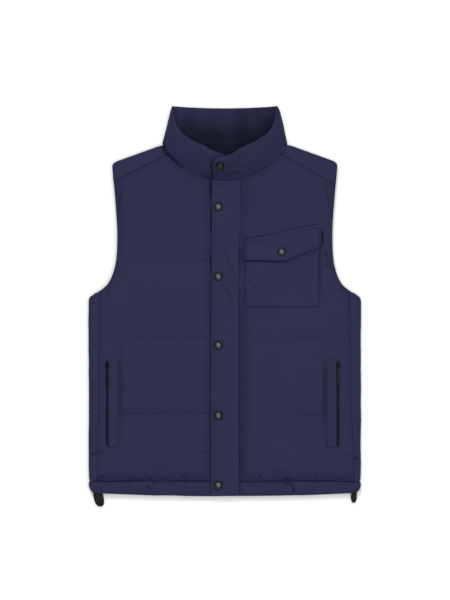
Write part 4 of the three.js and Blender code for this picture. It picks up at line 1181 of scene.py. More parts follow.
class VEST_OT_fronts(bpy.types.Operator):
    """The two quilted fronts"""

    bl_idname = "vest.fronts"
    bl_label = "Fronts"

    COLUMNS = 112

    def execute(self, context):
        self.make_front("front_right", -1, -UNDERLAP)
        self.make_front("front_left", 1, FRONT_LEFT_EDGE)
        return {"FINISHED"}

    def make_front(self, node, side, centre):
        """One front, flat underneath."""
        outer, inner = front_rows(centre, side)
        plan = grid_between(outer, inner, edge_shares(self.COLUMNS))
        x, y = side * plan[..., 0], plan[..., 1]
        y = y + hem_wave(x) * (1 - smoothstep(y, HEM_SEAM, HEM_SEAM + 30))
        z, seam = front_face(x, y, side)
        z = z - np.where(side * x < -UNDERLAP + 6, 0, 0.5) * rolled(rim_distance(plan), 0.7)
        shape = flat_based(np.stack([x, y, z], -1), MEET + GAP)
        cloth_piece(node, shape, seam)


def fold_angle(t):
    """Which way a section faces at its shares t: a quarter turn up, and down behind the fold."""
    return np.pi * (0.5 - np.clip((t - FOLD_FROM) / FOLD_SHARE, 0, 1))


def fold_section(t, reach, front, back, squeeze):
    """Outer and inner points of the wall round a fold, at shares t from the front to the back."""
    angle = fold_angle(t)
    before, after = np.minimum(1, t / FOLD_FROM), np.maximum(0, (t - FOLD_TO) / FOLD_FROM)
    out_x = lerp(front, reach - FOLD_RADIUS, before) + FOLD_RADIUS * np.cos(angle) * squeeze
    in_x = lerp(front, reach - FOLD_WALL, before) + GAP * np.cos(angle)
    outer = (lerp(out_x, back, after), MEET + FOLD_RADIUS * np.sin(angle) * squeeze)
    inner = (lerp(in_x, back, after), MEET + GAP * np.sin(angle))
    return outer, inner


def seam_dip(t):
    """Share of a fold's height that is left at its front seam."""
    return 1 - 0.1 * np.maximum(0, 1 - t / FOLD_FROM)


def edge_roll(distance):
    """A free edge rolls from half the wall's height at the rim to all of it further in."""
    t = np.clip(distance / EDGE_RADIUS, 0, 1)
    return 0.5 + 0.5 * np.sqrt(1 - (1 - t) ** 2)


class VEST_OT_sides(bpy.types.Operator):
    """The side panels, which go round the side folds to the back"""

    bl_idname = "vest.sides"
    bl_label = "Side panels"

    ROWS, COLUMNS = 190, 64

    def execute(self, context):
        self.make_side("side_panel_right", -1)
        self.make_side("side_panel_left", 1)
        return {"FINISHED"}

    def make_side(self, node, side):
        """One side panel, from its front seam round to the back."""
        v = edge_shares(self.ROWS, 0.7)[:, None]
        t = np.linspace(0, 1, self.COLUMNS)[None, :]
        row_y = lerp(HEM_SEAM + GAP, ARMHOLE[0, 1], v)
        seam_x = x_on(SIDE_SEAM[side], row_y) - LAP
        plain, _ = fold_section(t, HALF_WIDTH, seam_x, BACK_SEAM + GAP, 1.0)
        top = np.where(plain[0] < ARMHOLE[0, 0], y_on(ARMHOLE_FOOT, plain[0]), ARMHOLE[0, 1])
        y = lerp(HEM_SEAM + GAP + (hem_wave(side * plain[0]) - LAP) * (t < UPPER), top, v)
        pinch = 1 - 0.14 * np.maximum(0, 1 - (y - HEM_SEAM) / 14) ** 2 * (t < 0.75)
        squeeze = edge_roll(top - y) * pinch * seam_dip(t)
        outer, inner = fold_section(t, HALF_WIDTH, seam_x, BACK_SEAM + GAP, squeeze)
        grow, shade = self.relief(side * outer[0], y, t, side)
        x = outer[0] + grow * np.cos(fold_angle(t))
        z = np.maximum(outer[1] + grow * np.sin(fold_angle(t)), 0)
        # painted shade along the side seam and the hem seam
        side_line = 0.2 * groove(outer[0] - seam_x, 0.9) * (t < 0.5)
        hem_line = 0.85 * groove(y - y[:1], 1.5) * (t < UPPER)
        seam = darkest(side_line, hem_line, shade)
        points = np.stack([side * x, y, z], -1)
        lining = np.stack([side * inner[0], y, inner[1] + 0 * y], -1)
        shape = closed_sheet(points, lining)
        cloth_piece(node, shape, seam)

    def relief(self, x, y, t, side):
        """Unevenness of the upper side and the shade painted into it; the underside stays flat."""
        up = smoothstep(0.78 - t, 0, 0.1)
        fold, shade = creased("side", x, y)
        rough = lumps(y, t * 60, 70 + side, 0.7) + fold
        gathers = 0.9 * puckers(t * 70, y - HEM_SEAM, 74 + side, spacing=9)
        along = 0.9 * puckers(y, np.abs(x) - x_on(SIDE_SEAM[side], y), 78 + side, spacing=16)
        return up * (rough + gathers + along), up * shade


class VEST_OT_back(bpy.types.Operator):
    """The back panel and the yoke, which goes over the shoulders"""

    bl_idname = "vest.back"
    bl_label = "Back and yoke"

    ROW_STEP = 4.2
    FAR = 99.0  # stands for no free edge near a point
    NECK_LINE = {-1: (1.0, 4.6), 1: (0.6, 1.5)}  # how dark and how wide the shade painted at the collar is

    def execute(self, context):
        self.make_back()
        self.make_yoke()
        return {"FINISHED"}

    def make_back(self):
        """The back panel, whose sewn lines are drawn up from the table."""
        seam_top = float(y_on(ARMHOLE_FOOT, BACK_SEAM))
        ys = np.arange(HEM_SEAM + GAP, YOKE_BACK_SEAM, self.ROW_STEP)
        ys[-1] = YOKE_BACK_SEAM - GAP
        half = np.where(ys <= seam_top, BACK_SEAM, x_on(ARMHOLE, ys)) - GAP
        u = edge_shares(112, 0.6)
        x = half[:, None] * (2 * u[None] - 1)
        y = ys[:, None] + 0 * x
        rim = np.where(y < seam_top, self.FAR, nearest(ARMHOLE, np.abs(x), y)[0])
        low = MEET - MEET * edge_roll(rim)
        # seam gathers the painted shade of the sewn lines, creases and gathers
        seam = np.zeros(x.shape)
        rows = pinches([(-BACK_SEAM, HEM_SEAM), (BACK_SEAM, HEM_SEAM)], HEM_PINCH, 120, (1,))
        for line in BACK_CHANNELS:
            d = y - line - 0.8 * noise(x, 0 * x, 30, int(line))
            low = low + 3.2 * np.exp(-((d / 7) ** 2)) + 1.2 * groove(d)
            seam = np.maximum(seam, groove(d))
            rows += pinches([(-BACK_SEAM, line), (BACK_SEAM, line)], BACK_PINCH, int(line))
        folds, dark = creased("back", x, y)
        gathers, shade = furrowed(rows, x, y, SETS_IN)
        # The cloth only goes up from the table, so a ridge is left flat
        low = low + np.maximum(0, -folds - gathers - 0.6 * lumps(x, y, 122, 1))
        seam = darkest(seam, dark, shade)
        under = np.stack([x, y, low], -1)
        lining = np.stack([x, y, 0 * x + MEET - GAP], -1)
        shape = closed_sheet(under, lining)
        cloth_piece("back_panel", shape, seam)

    def make_yoke(self):
        """Both shoulders and the middle of the yoke, in one piece."""
        parts = [self.shoulder(-1), self.shoulder(1), self.slab()]
        counts = [len(points) for points, _ in parts]
        seam = np.zeros(sum(counts))
        for n, side in enumerate((-1, 1)):
            start = sum(counts[:n])
            points = parts[n][0]
            d = nearest(SHOULDER_SEAM[side], side * points[:, 0], points[:, 1])[0]
            upper = points[:, 2] > MEET
            neck = nearest(NECK, np.abs(points[:, 0]), points[:, 1])[0]
            strength, width = self.NECK_LINE[side]
            # painted shade at the foot of the collar and along the shoulder seam
            at_neck = strength * groove(neck, width)
            seam[start: start + counts[n]] = np.maximum(0.2 * groove(d, 0.9), at_neck) * upper
        slab_start = sum(counts[:2])
        seam[slab_start: slab_start + counts[2] // 2] = 1  # its upper face shows inside the neck, so it is painted in full shade
        cloth_piece("yoke", joined(*parts), seam)

    def slab(self):
        """The middle of the yoke, which lies flat under the neck."""
        share, v = np.meshgrid(np.linspace(-1, 1, 70), np.linspace(0, 1, 40))
        y = lerp(YOKE_BACK_SEAM + GAP, BACK_NECK + TUCK + 2.4 * share**2, v)
        x = share * np.interp(y, *self.shoulder_end())
        top = MEET - GAP + 0.5 * noise(x, y, 30, 90) * smoothstep(v, 0, 0.2) - 0.5
        return closed_sheet(np.stack([x, y, top], -1), np.stack([x, y, 0 * x], -1))

    @staticmethod
    def shoulder_end():
        """Y and X at both ends of the edge where a shoulder's flat stretch meets the slab."""
        fold = SHOULDER_FOLD[1]
        run = fold[1] - fold[0]
        normal = np.array([run[1], -run[0]]) / math.hypot(*run)
        top = lerp(*fold, UNDER_COLLAR) - FOLD_RADIUS * normal
        return (YOKE_BACK_SEAM + GAP, top[1]), (SHOULDER_END, top[0])

    def shoulder(self, side):
        """One shoulder: front strip, fold and the flat stretch behind."""
        u = UNDER_COLLAR * edge_shares(90, 0.6)[:, None]
        t = np.linspace(0, 1, 56)[None, :]
        fold = SHOULDER_FOLD[side]
        run = fold[1] - fold[0]
        size = math.hypot(*run)
        normal = np.array([run[1], -run[0]]) / size
        crest = lerp(*fold, u)
        front = lerp(*SHOULDER_SEAM[side], u)
        depth = ((crest - front) @ normal)[:, None]
        back_x = lerp(x_on(ARMHOLE, YOKE_BACK_SEAM) - GAP, SHOULDER_END, u / UNDER_COLLAR)
        back = np.hstack([back_x, 0 * u + YOKE_BACK_SEAM + GAP])
        squeeze = edge_roll(u * size * 0.97) * (1 - 0.12 * np.clip(1 - (1 - u) * size / 10, 0, 1))
        outer, inner = fold_section(t, 0.0, -depth, -depth, squeeze * seam_dip(t))
        rough = 0.5 * noise(u * size, t * 50, 24, 95 + side)
        grow = rough + 0.5 * puckers(u * size, 60 * t, 97 + side)
        grow = grow * (t < 0.75) * smoothstep(t, 0, 0.06)
        wander = front + normal * depth - crest
        start = crest - FOLD_RADIUS * normal

        def plan(across):
            slide = np.clip(-across / depth, 0, 1)[..., None]
            over = crest[:, None] + across[..., None] * normal + wander[:, None] * slide
            behind = lerp(start[:, None], back[:, None], (t[..., None] - FOLD_TO) / FOLD_FROM)
            return np.where(t[..., None] > FOLD_TO, behind, over)

        outside, inside = plan(outer[0] + 0 * t), plan(inner[0] + 0 * t)
        low = np.where(t >= FOLD_TO, MEET - FOLD_RADIUS * edge_roll(u * size), outer[1] + grow)
        sheet = np.stack([side * outside[..., 0], outside[..., 1], low], -1)
        lining = np.stack([side * inside[..., 0], inside[..., 1], inner[1] + 0 * low], -1)
        return closed_sheet(sheet, lining)


class VEST_OT_hem(bpy.types.Operator):
    """The hem bands: one round the back and both side folds, and one on each front"""

    bl_idname = "vest.hem"
    bl_label = "Hem bands"

    SEAM_PINCH = Pinch(9, 14, 1.1)
    EDGE_PINCH = Pinch(16, 9, 0.7)
    WIDTH = 28.0
    EDGE_LIFT = 3.5  # how far the folded edge stands off the table
    FOLD_COLUMNS, BACK_COLUMNS = 40, 90

    def execute(self, context):
        self.make_back_band()
        self.make_front_band("hem_band_right", -1, -UNDERLAP)
        self.make_front_band("hem_band_left", 1, FRONT_LEFT_EDGE)
        return {"FINISHED"}

    @staticmethod
    def bulge(v, low, high):
        """A stuffed tube's height across it, from one share at its fold to another at its seam."""
        return lerp(np.where(v < 0.5, low, high), 1, np.sqrt(np.maximum(0, 1 - (2 * v - 1) ** 2)))

    def relief(self, x, y):
        """Gathers of the band, which its seam and its folded edge pinch, and the shade painted into
        them.
        """
        span = np.linspace(-HALF_WIDTH, HALF_WIDTH, 200)
        rows = pinches(np.column_stack([span, 0 * span + HEM_SEAM - 1]), self.SEAM_PINCH, 104, (-1,))
        rows += pinches(np.column_stack([span, hem_edge(span)]), self.EDGE_PINCH, 105, (1,))
        gathers, shade = furrowed(rows, x, y, SETS_IN)
        folds, dark = creased("hem", x, y)
        return gathers + 0.6 * lumps(x, y, 108, 1.0) + folds, np.maximum(shade, dark)

    def make_front_band(self, node, side, inner):
        """The hem band of one front."""
        outer_x = x_on(SIDE_SEAM[side], 0) + LAP
        a, v = np.meshgrid(lerp(outer_x, inner, edge_shares(150, 0.3)), edge_shares(26, 0.8))
        x = side * a
        top_edge = HEM_SEAM + hem_wave(x) + GAP
        low_edge = hem_edge(a) + 0.5 * noise(x, 0 * x, 40, 113)
        y = lerp(low_edge, top_edge, v)
        round_it = self.bulge(v, 0.42, 0.6)
        beside = np.where(side > 0, x - PLACKET_SEAM[0, 0], -27.7 - x)
        share = round_it * (1 - drawn(beside, BAND_DRAW))
        edge = smoothstep(v, 0, 0.12) * (1 - smoothstep(v, 0.9, 1))
        relief, shade = self.relief(x, y)
        z = np.maximum(HEM_LOFT * share + relief * edge, UNDERLAP_LOFT * round_it)
        z = np.where((side < 0) & (beside < LAPPED_FROM), UNDERLAP_LOFT, z)
        z -= TUCK_DROP * (side > 0) * smoothstep(-beside, 0, TUCK)
        # painted shade along the hem seam and beside the placket
        hem_line = hem_shade(x) * groove((1 - v) * self.WIDTH, 1.3)
        seam = darkest(hem_line, 0.4 * groove(beside, 1.0), shade)
        shape = flat_based(np.stack([x, y, MEET + GAP + z], -1), MEET + GAP)
        cloth_piece(node, shape, seam)

    def make_back_band(self):
        """The hem band of the back, with both side folds."""
        count = self.FOLD_COLUMNS
        t_half = np.linspace(0, 1, count)
        middle = np.linspace(-BACK_SEAM, BACK_SEAM, self.BACK_COLUMNS)[1:-1]
        t = np.concatenate([t_half, 0 * middle + 1, t_half[::-1]])[None, :]
        side = np.concatenate([0 * t_half - 1, 0 * middle + 1, 0 * t_half + 1])[None, :]
        seam_x = np.where(side < 0, x_on(SIDE_SEAM[-1], 0), x_on(SIDE_SEAM[1], 0)) - LAP
        plain, _ = fold_section(t, HALF_WIDTH, seam_x, BACK_SEAM, 1.0)
        flat_x = side * plain[0]
        flat_x[0, count:-count] = middle
        v = edge_shares(22, 0.8)[:, None]
        round_it = self.bulge(v, 0.5, 0.86)
        top_edge = HEM_SEAM + (hem_wave(flat_x) + GAP) * (t < UPPER) - GAP * (t >= UPPER)
        y = lerp(hem_edge(flat_x), top_edge, v)
        relief, shade = self.relief(flat_x, y)
        grow = 0.5 * relief * (t < UPPER) * smoothstep(v, 0, 0.15)
        outer, inner = fold_section(t, HALF_WIDTH, seam_x, BACK_SEAM, round_it * seam_dip(t))
        low = self.EDGE_LIFT * (1 - smoothstep(v, 0, 0.15))
        folded = t < 1
        x = np.where(folded, side * outer[0], flat_x) + 0 * y
        z = np.where(t > 0.75, low, np.maximum(outer[1] + grow, low))
        in_x = np.where(folded, side * inner[0], flat_x) + 0 * y
        in_z = np.where(folded, inner[1], MEET - GAP) + 0 * y
        # painted shade along the sewn top edge and in the gathers
        seam = np.maximum(0.4 * groove((1 - v) * self.WIDTH, 1.3), shade)
        shape = closed_sheet(np.stack([x, y, z], -1), np.stack([in_x, y, in_z], -1))
        cloth_piece("hem_band_back", shape, seam)


class VEST_OT_collar(bpy.types.Operator):
    """The stand collar, with its left end lapped over its right"""

    bl_idname = "vest.collar"
    bl_label = "Collar"

    COLUMNS, ROWS = 260, 36
    FINE = 24  # steps of the smooth line from one section to the next
    WALL = 70.0  # height of the wall from its foot to its rim, along it
    FOOT_PINCH = Pinch(11, 26, 1.1)
    RIM_PINCH = Pinch(19, 14, 0.7)
    # The inside is painted with shade, most at the neck seam: share of its height, and shade
    INNER_SHADE = [(0, 0.35, 0.52, 0.75, 1), (1, 0.92, 0.7, 0.48, 0.34)]
    # The lapped end's edge: share of its height, and how far it is shifted in X
    LAP_EDGE = [(0, 0.22, 0.5, 0.75, 0.92, 1), (-3, -0.4, -3.6, -3.6, -1.8, 1)]
    # The same edge as the end under it shows it, for its shadow: Y and X
    LAP_SHADOW = [(634, 642, 652, 664, 676, 682), (-29.6, -26, -25.2, -27.8, -26.4, -23.6)]
    # X, and how dark and how wide the painted shade at the foot is there
    FOOT_SHADE = [
        (-125, -112, -90, -70, -45, -34, -27, 0, 40, 70, 100, 125),
        (1, 1, 0.9, 0.3, 0.25, 0.9, 0.3, 0.15, 0.15, 0.5, 0.8, 0.9),
        (6.0, 5.0, 2.8, 2.0, 2.0, 4.0, 2.0, 1.6, 1.6, 1.6, 1.6, 1.6),
    ]
    RIM_SHARE = [(0, 0.7), (0.07, 0.94), (0.3, 1), (0.62, 1), (0.86, 0.96), (0.95, 0.78), (1, 0.42)]

    def execute(self, context):
        mirrored = [
            Section((-s.foot[0], *s.foot[1:]), (-s.rim[0], *s.rim[1:]), s.thick)
            for s in COLLAR_BACK_TO_FRONT[1:]
        ]
        sections = [*COLLAR_UNDER_END[::-1], *mirrored[::-1], *COLLAR_BACK_TO_FRONT, *COLLAR_TOP_END]
        points = np.array([(*s.foot, *s.rim, s.thick) for s in sections], float)
        steps = np.sqrt(np.linalg.norm(np.diff(points[:, :6], axis=0), axis=1))
        run = np.concatenate([[0], np.cumsum(steps)])
        fine = np.interp(np.linspace(0, run[-1], self.COLUMNS), run, np.arange(len(run)))
        rows = smooth_line(points, self.FINE)
        places = np.arange(len(rows))
        at = np.stack([np.interp(fine * self.FINE, places, row) for row in rows.T], 1)
        foot, rim, thick = at[:, :3], at[:, 3:6], at[:, 6]
        along = np.linspace(0, 640, self.COLUMNS)
        uneven = 1.1 * noise(along, 0 * along, 17, 127) + 0.5 * noise(along, 0 * along, 7, 128)
        rim = rim + (uneven * smoothstep(rim[:, 2], 13, 25))[:, None] * (0, 1, 0)
        v = edge_shares(self.ROWS, 0.5)
        middle = lerp(foot[None], rim[None], v[:, None, None])
        at_end = smoothstep(np.linspace(0, 1, self.COLUMNS), 0.95, 1)
        middle[..., 0] += np.interp(v, *self.LAP_EDGE)[:, None] * at_end
        around = np.gradient(middle, axis=1)
        rise = np.cross((rim - foot)[None], around)
        normal = rise / np.linalg.norm(rise, axis=-1, keepdims=True)
        bulge = COLLAR_RISE * np.sin(np.pi * v)[:, None] * smoothstep(middle[..., 2], 15, 24)
        share = np.interp(v, *zip(*self.RIM_SHARE))[:, None]
        half = thick[None] * share / 2
        relief, shade = self.relief(middle, v)
        outer = middle + normal * (bulge + half + relief)[..., None]
        inner = middle + normal * (bulge - half + 0.4 * relief)[..., None]
        outer[..., 2], inner[..., 2] = np.maximum(outer[..., 2], 0), np.maximum(inner[..., 2], 0)
        x, y = middle[..., 0], middle[..., 1]
        tight, wide = (np.interp(x, self.FOOT_SHADE[0], row) for row in self.FOOT_SHADE[1:])
        foot_line = tight * groove(np.maximum(0, v[:, None] * self.WALL - 3.5), wide)
        under = np.arange(self.COLUMNS) < self.COLUMNS / 2
        edge = np.interp(y, *self.LAP_SHADOW)
        beside_lap = (1 - smoothstep(y, 672, 683)) * groove(x - edge, 2.4 + noise(y, 0 * y, 9, 129))
        # painted shade: the line at the foot, the creases, a light shade all over the outside, and the
        # lapped end's shadow on the end under it
        seam = darkest(foot_line, shade, 0.15, 0.95 * under * beside_lap)
        # painted shade on the inside: patchy, and deeper towards the wearer's left
        inside = np.interp(v, *self.INNER_SHADE)[:, None]
        inside = inside + 0.2 * noise(x, y, 26, 126)
        inside += 0.2 * smoothstep(x, 30, 95)
        seam = np.concatenate([seam.ravel(), np.clip(inside, 0, 1).ravel()])
        shape = closed_sheet(outer, inner)
        cloth_piece("collar", shape, seam)
        return {"FINISHED"}

    def relief(self, middle, v):
        """Gathers and creases of the wall, and the shade painted into them."""
        x, y = middle[..., 0], middle[..., 1]
        along = np.cumsum(np.linalg.norm(np.gradient(middle, axis=1), axis=-1), axis=1)
        away = v[:, None] * self.WALL + 0 * x
        inside = smoothstep(v, 0, 0.1)[:, None] * (1 - smoothstep(v, 0.94, 1))[:, None]
        length = float(along.max())
        rows = pinches([(0, 1), (length, 1)], self.FOOT_PINCH, 120, (1,))
        rim = self.WALL - 1
        rows += pinches([(0, rim), (length, rim)], self.RIM_PINCH, 121, (-1,))
        gathers, shade = furrowed(rows, along, away, SETS_IN)
        folds, dark = creased("collar", x, y)
        front = middle[..., 2] > 12
        relief = (gathers + lumps(along, away, 124, 1.5) + folds * front) * inside
        return relief, np.maximum(shade, dark * front)


class VEST_OT_placket(bpy.types.Operator):
    """The snap strip, lapped over the right front's edge"""

    bl_idname = "vest.placket"
    bl_label = "Placket"

    STITCH_INSET = 6.0
    LENGTH = 632.0
    LEAST = 3.2  # thickness that it keeps everywhere

    def execute(self, context):
        v, u = np.meshgrid(np.linspace(0, 1, 380), edge_shares(44, 0.5), indexing="ij")
        y = lerp(0, self.LENGTH, v)
        left = x_on(PLACKET_EDGE, y) + 0.4 * noise(y, 0 * y, 30, 130)
        right = x_on(PLACKET_SEAM, y)
        x = lerp(left, right + 0.35 * noise(y, 0 * y, 45, 131), u)
        y = lerp(hem_edge(x) + 0.2, y_on(NECK, np.abs(x)) + TUCK, v)
        z, seam = self.face(x, y, left)
        edge = np.minimum(rolled(x - left, 2.4), 1) * 1.9
        edge = np.maximum(edge, rolled(np.minimum(v, 1 - v) * 630, 2.0) * 1.6)
        top = np.stack([x, y, z - edge], -1)
        under = height_at(tree_of(bpy.data.objects["front_right_cloth"]), x, y) + GAP
        under = np.where(x > UNDERLAP + 1, MEET + GAP, np.minimum(under, z - 3.4))
        base = np.stack([x, y, np.minimum(softened(under, 6), z - self.LEAST)], -1)
        shape = closed_sheet(top, base)
        piece = cloth_piece("placket", shape, seam)
        return {"FINISHED"}

    def face(self, x, y, left):
        """Height of the strip's face, and the shade painted on its sewing, its creases and round its
        snaps. It dips over the channels under it and lies flat under the snaps."""
        inset = x - left
        z = PLACKET_TOP - 2.4 * smoothstep(x, 12, PLACKET_RIGHT) + 0 * y
        for channel in CHANNELS[-1]:
            d = y - channel.centre
            z -= 0.9 * np.exp(-((d / 13) ** 2)) * (1 - smoothstep(x, -10, 18))
            z -= 0.5 * np.exp(-((d / 5) ** 2)) * (1 - smoothstep(x, -24, -6))
        folds, shade = creased("placket", x, y)
        z += lumps(x, y, 134, 0.55) + folds
        row = inset - self.STITCH_INSET
        z -= 0.45 * groove(row, 1.2)
        z += 0.3 * puckers(y, row, 137, spacing=8, reach=4)
        at, strength, _ = zip(*BESIDE_PLACKET[1])
        patchy = 0.9 * np.interp(y, at, strength)
        sewn_edge = patchy * groove(x - x_on(PLACKET_SEAM, y), 1.3)
        # painted shade in the stitch row, at the sewn edge beside the left front and in the creases
        seam = darkest(0.3 * groove(row, 0.8), sewn_edge, shade)
        for n in range(1, 6):
            low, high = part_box(f"snap_placket_{n}")
            spot = np.array([low.x + high.x, low.y + high.y]) / 2 / MM + (0, HEM_TO_ORIGIN)
            d = np.hypot(x - spot[0], y - spot[1])
            z = lerp(z, PLACKET_TOP, 1 - smoothstep(d, 8.5, 12)) - 0.7 * groove(d - 10.5, 2.5)
            # painted shade round each snap
            seam = np.maximum(seam, 0.5 * groove(d - VEST_OT_snaps.RADIUS - 0.4, 1.0))
        return z, seam


def chest_top(x):
    """Y of the flap's upper edge, which slants up to the armhole."""
    return lerp(514, 547, (x - FLAP_LEFT) / (FLAP_RIGHT - FLAP_LEFT))


def flap_bottom(x):
    """Y of the flap's lower edge, with its blunt point."""
    inner = lerp(472, 470.6, (x - FLAP_LEFT) / (FLAP_POINT - FLAP_LEFT))
    outer = lerp(470.6, 499.6, (x - FLAP_POINT) / (FLAP_RIGHT - FLAP_POINT))
    soft = 1.2
    return soft * np.logaddexp(inner / soft, outer / soft)


class VEST_OT_chest_pocket(bpy.types.Operator):
    """The patch pocket on the wearer's left and its flap"""

    bl_idname = "vest.chest_pocket"
    bl_label = "Chest pocket"

    STITCH_INSET = 6.0

    def execute(self, context):
        front = bpy.data.objects["front_left_cloth"]
        pocket = self.make_patch(front)
        self.make_flap(front, pocket)
        return {"FINISHED"}

    def make_patch(self, front):
        """The pocket itself, a little lower where the flap presses on it."""
        x, v = np.meshgrid(lerp(CHEST_LEFT, CHEST_RIGHT, edge_shares(100, 0.4)), edge_shares(100, 0.4))
        bottom = CHEST_BOTTOM + np.maximum(0, 2.4 - (CHEST_RIGHT - x))
        x = x + 1.6 * (v - 0.5) * smoothstep(x, 150, CHEST_RIGHT)
        y = lerp(bottom, chest_top(x) - 9, v)
        under = softened(height_at(tree_of(front), x, y) + GAP, 14)
        inset = np.minimum(np.minimum(x - CHEST_LEFT, y - bottom), CHEST_RIGHT + 0.8 - x)
        pleat = 3.4 * smoothstep(x, CHEST_RIGHT - 30, CHEST_RIGHT - 3) * np.minimum(1, (y - bottom) / 12)
        thick = 1.1 + 1.5 * smoothstep(inset, 0, 5) + pleat - 0.3 * groove(inset - 2.2, 0.9)
        folds, shade = creased("pocket", x, y)
        relief = (lumps(x, y, 150, 0.6) + folds) * smoothstep(inset, 0, 6)
        below_flap = flap_bottom(x) - y
        pressed = 1.4 * groove(below_flap - 1.5, 3.5)
        pressed *= 1 - smoothstep(x, FLAP_POINT - 10, FLAP_POINT + 25)
        z = under + thick + relief - 0.6 * rolled(inset, 1.0) - pressed
        # painted shadow under the flap's lower edge, and painted shade at the sewn edges, deepest at the
        # pleated right edge
        hidden = np.maximum(groove(below_flap - 0.8, 1.6), below_flap < 0.8)
        shadow = lerp(0.95, 0.0, smoothstep(x, FLAP_POINT - 12, FLAP_POINT + 20)) * hidden
        soft_shadow = 0.3 * groove(np.maximum(0, below_flap), 8) * smoothstep(x, 60, FLAP_POINT)
        edges = np.maximum(0.12 * groove(inset, 0.8), 0.85 * groove(CHEST_RIGHT + 0.5 - x, 1.0))
        seam = darkest(edges, shade, shadow, soft_shadow)
        shape = laid(x, y, z, under)
        piece = cloth_piece("chest_pocket", shape, seam)
        return piece

    def make_flap(self, front, pocket):
        """The flap, which stands up a little at its lower edge."""
        x, v = np.meshgrid(lerp(FLAP_LEFT, FLAP_RIGHT, edge_shares(120, 0.4)), edge_shares(56, 0.4))
        low = flap_bottom(x)
        y = lerp(low, chest_top(x), v)
        under = softened(height_at(tree_of(front, pocket), x, y) + GAP, 26)
        slope = np.where(x < FLAP_POINT, 1.0, 0.93)
        inset = np.minimum(np.minimum(x - FLAP_LEFT, FLAP_RIGHT - x), (y - low) * slope)
        whole = np.minimum(inset, chest_top(x) - y)
        row = inset - self.STITCH_INSET
        thick = 1.7 + 1.5 * smoothstep(inset, 0, 3) - 0.45 * groove(row, 1.1)
        lift = lerp(2.2, 0.8, smoothstep(x, FLAP_POINT - 10, FLAP_POINT + 20))
        lift = lift * (1 - smoothstep(y - low, 0, 16))
        folds, shade = creased("flap", x, y)
        z = under + thick + lift + lumps(x, y, 156, 0.45) + folds
        z += 0.25 * puckers(x, row, 160, spacing=8, reach=4)
        z -= 0.9 * rolled(whole, 1.2)
        # painted shade in the stitch row, at the sewn top edge and in the creases
        seam = darkest(0.3 * groove(row, 0.8), 0.7 * groove(chest_top(x) - y, 1.0), shade)
        shape = laid(x, y, z, under + lift * 0.8)
        piece = cloth_piece("chest_flap", shape, seam)


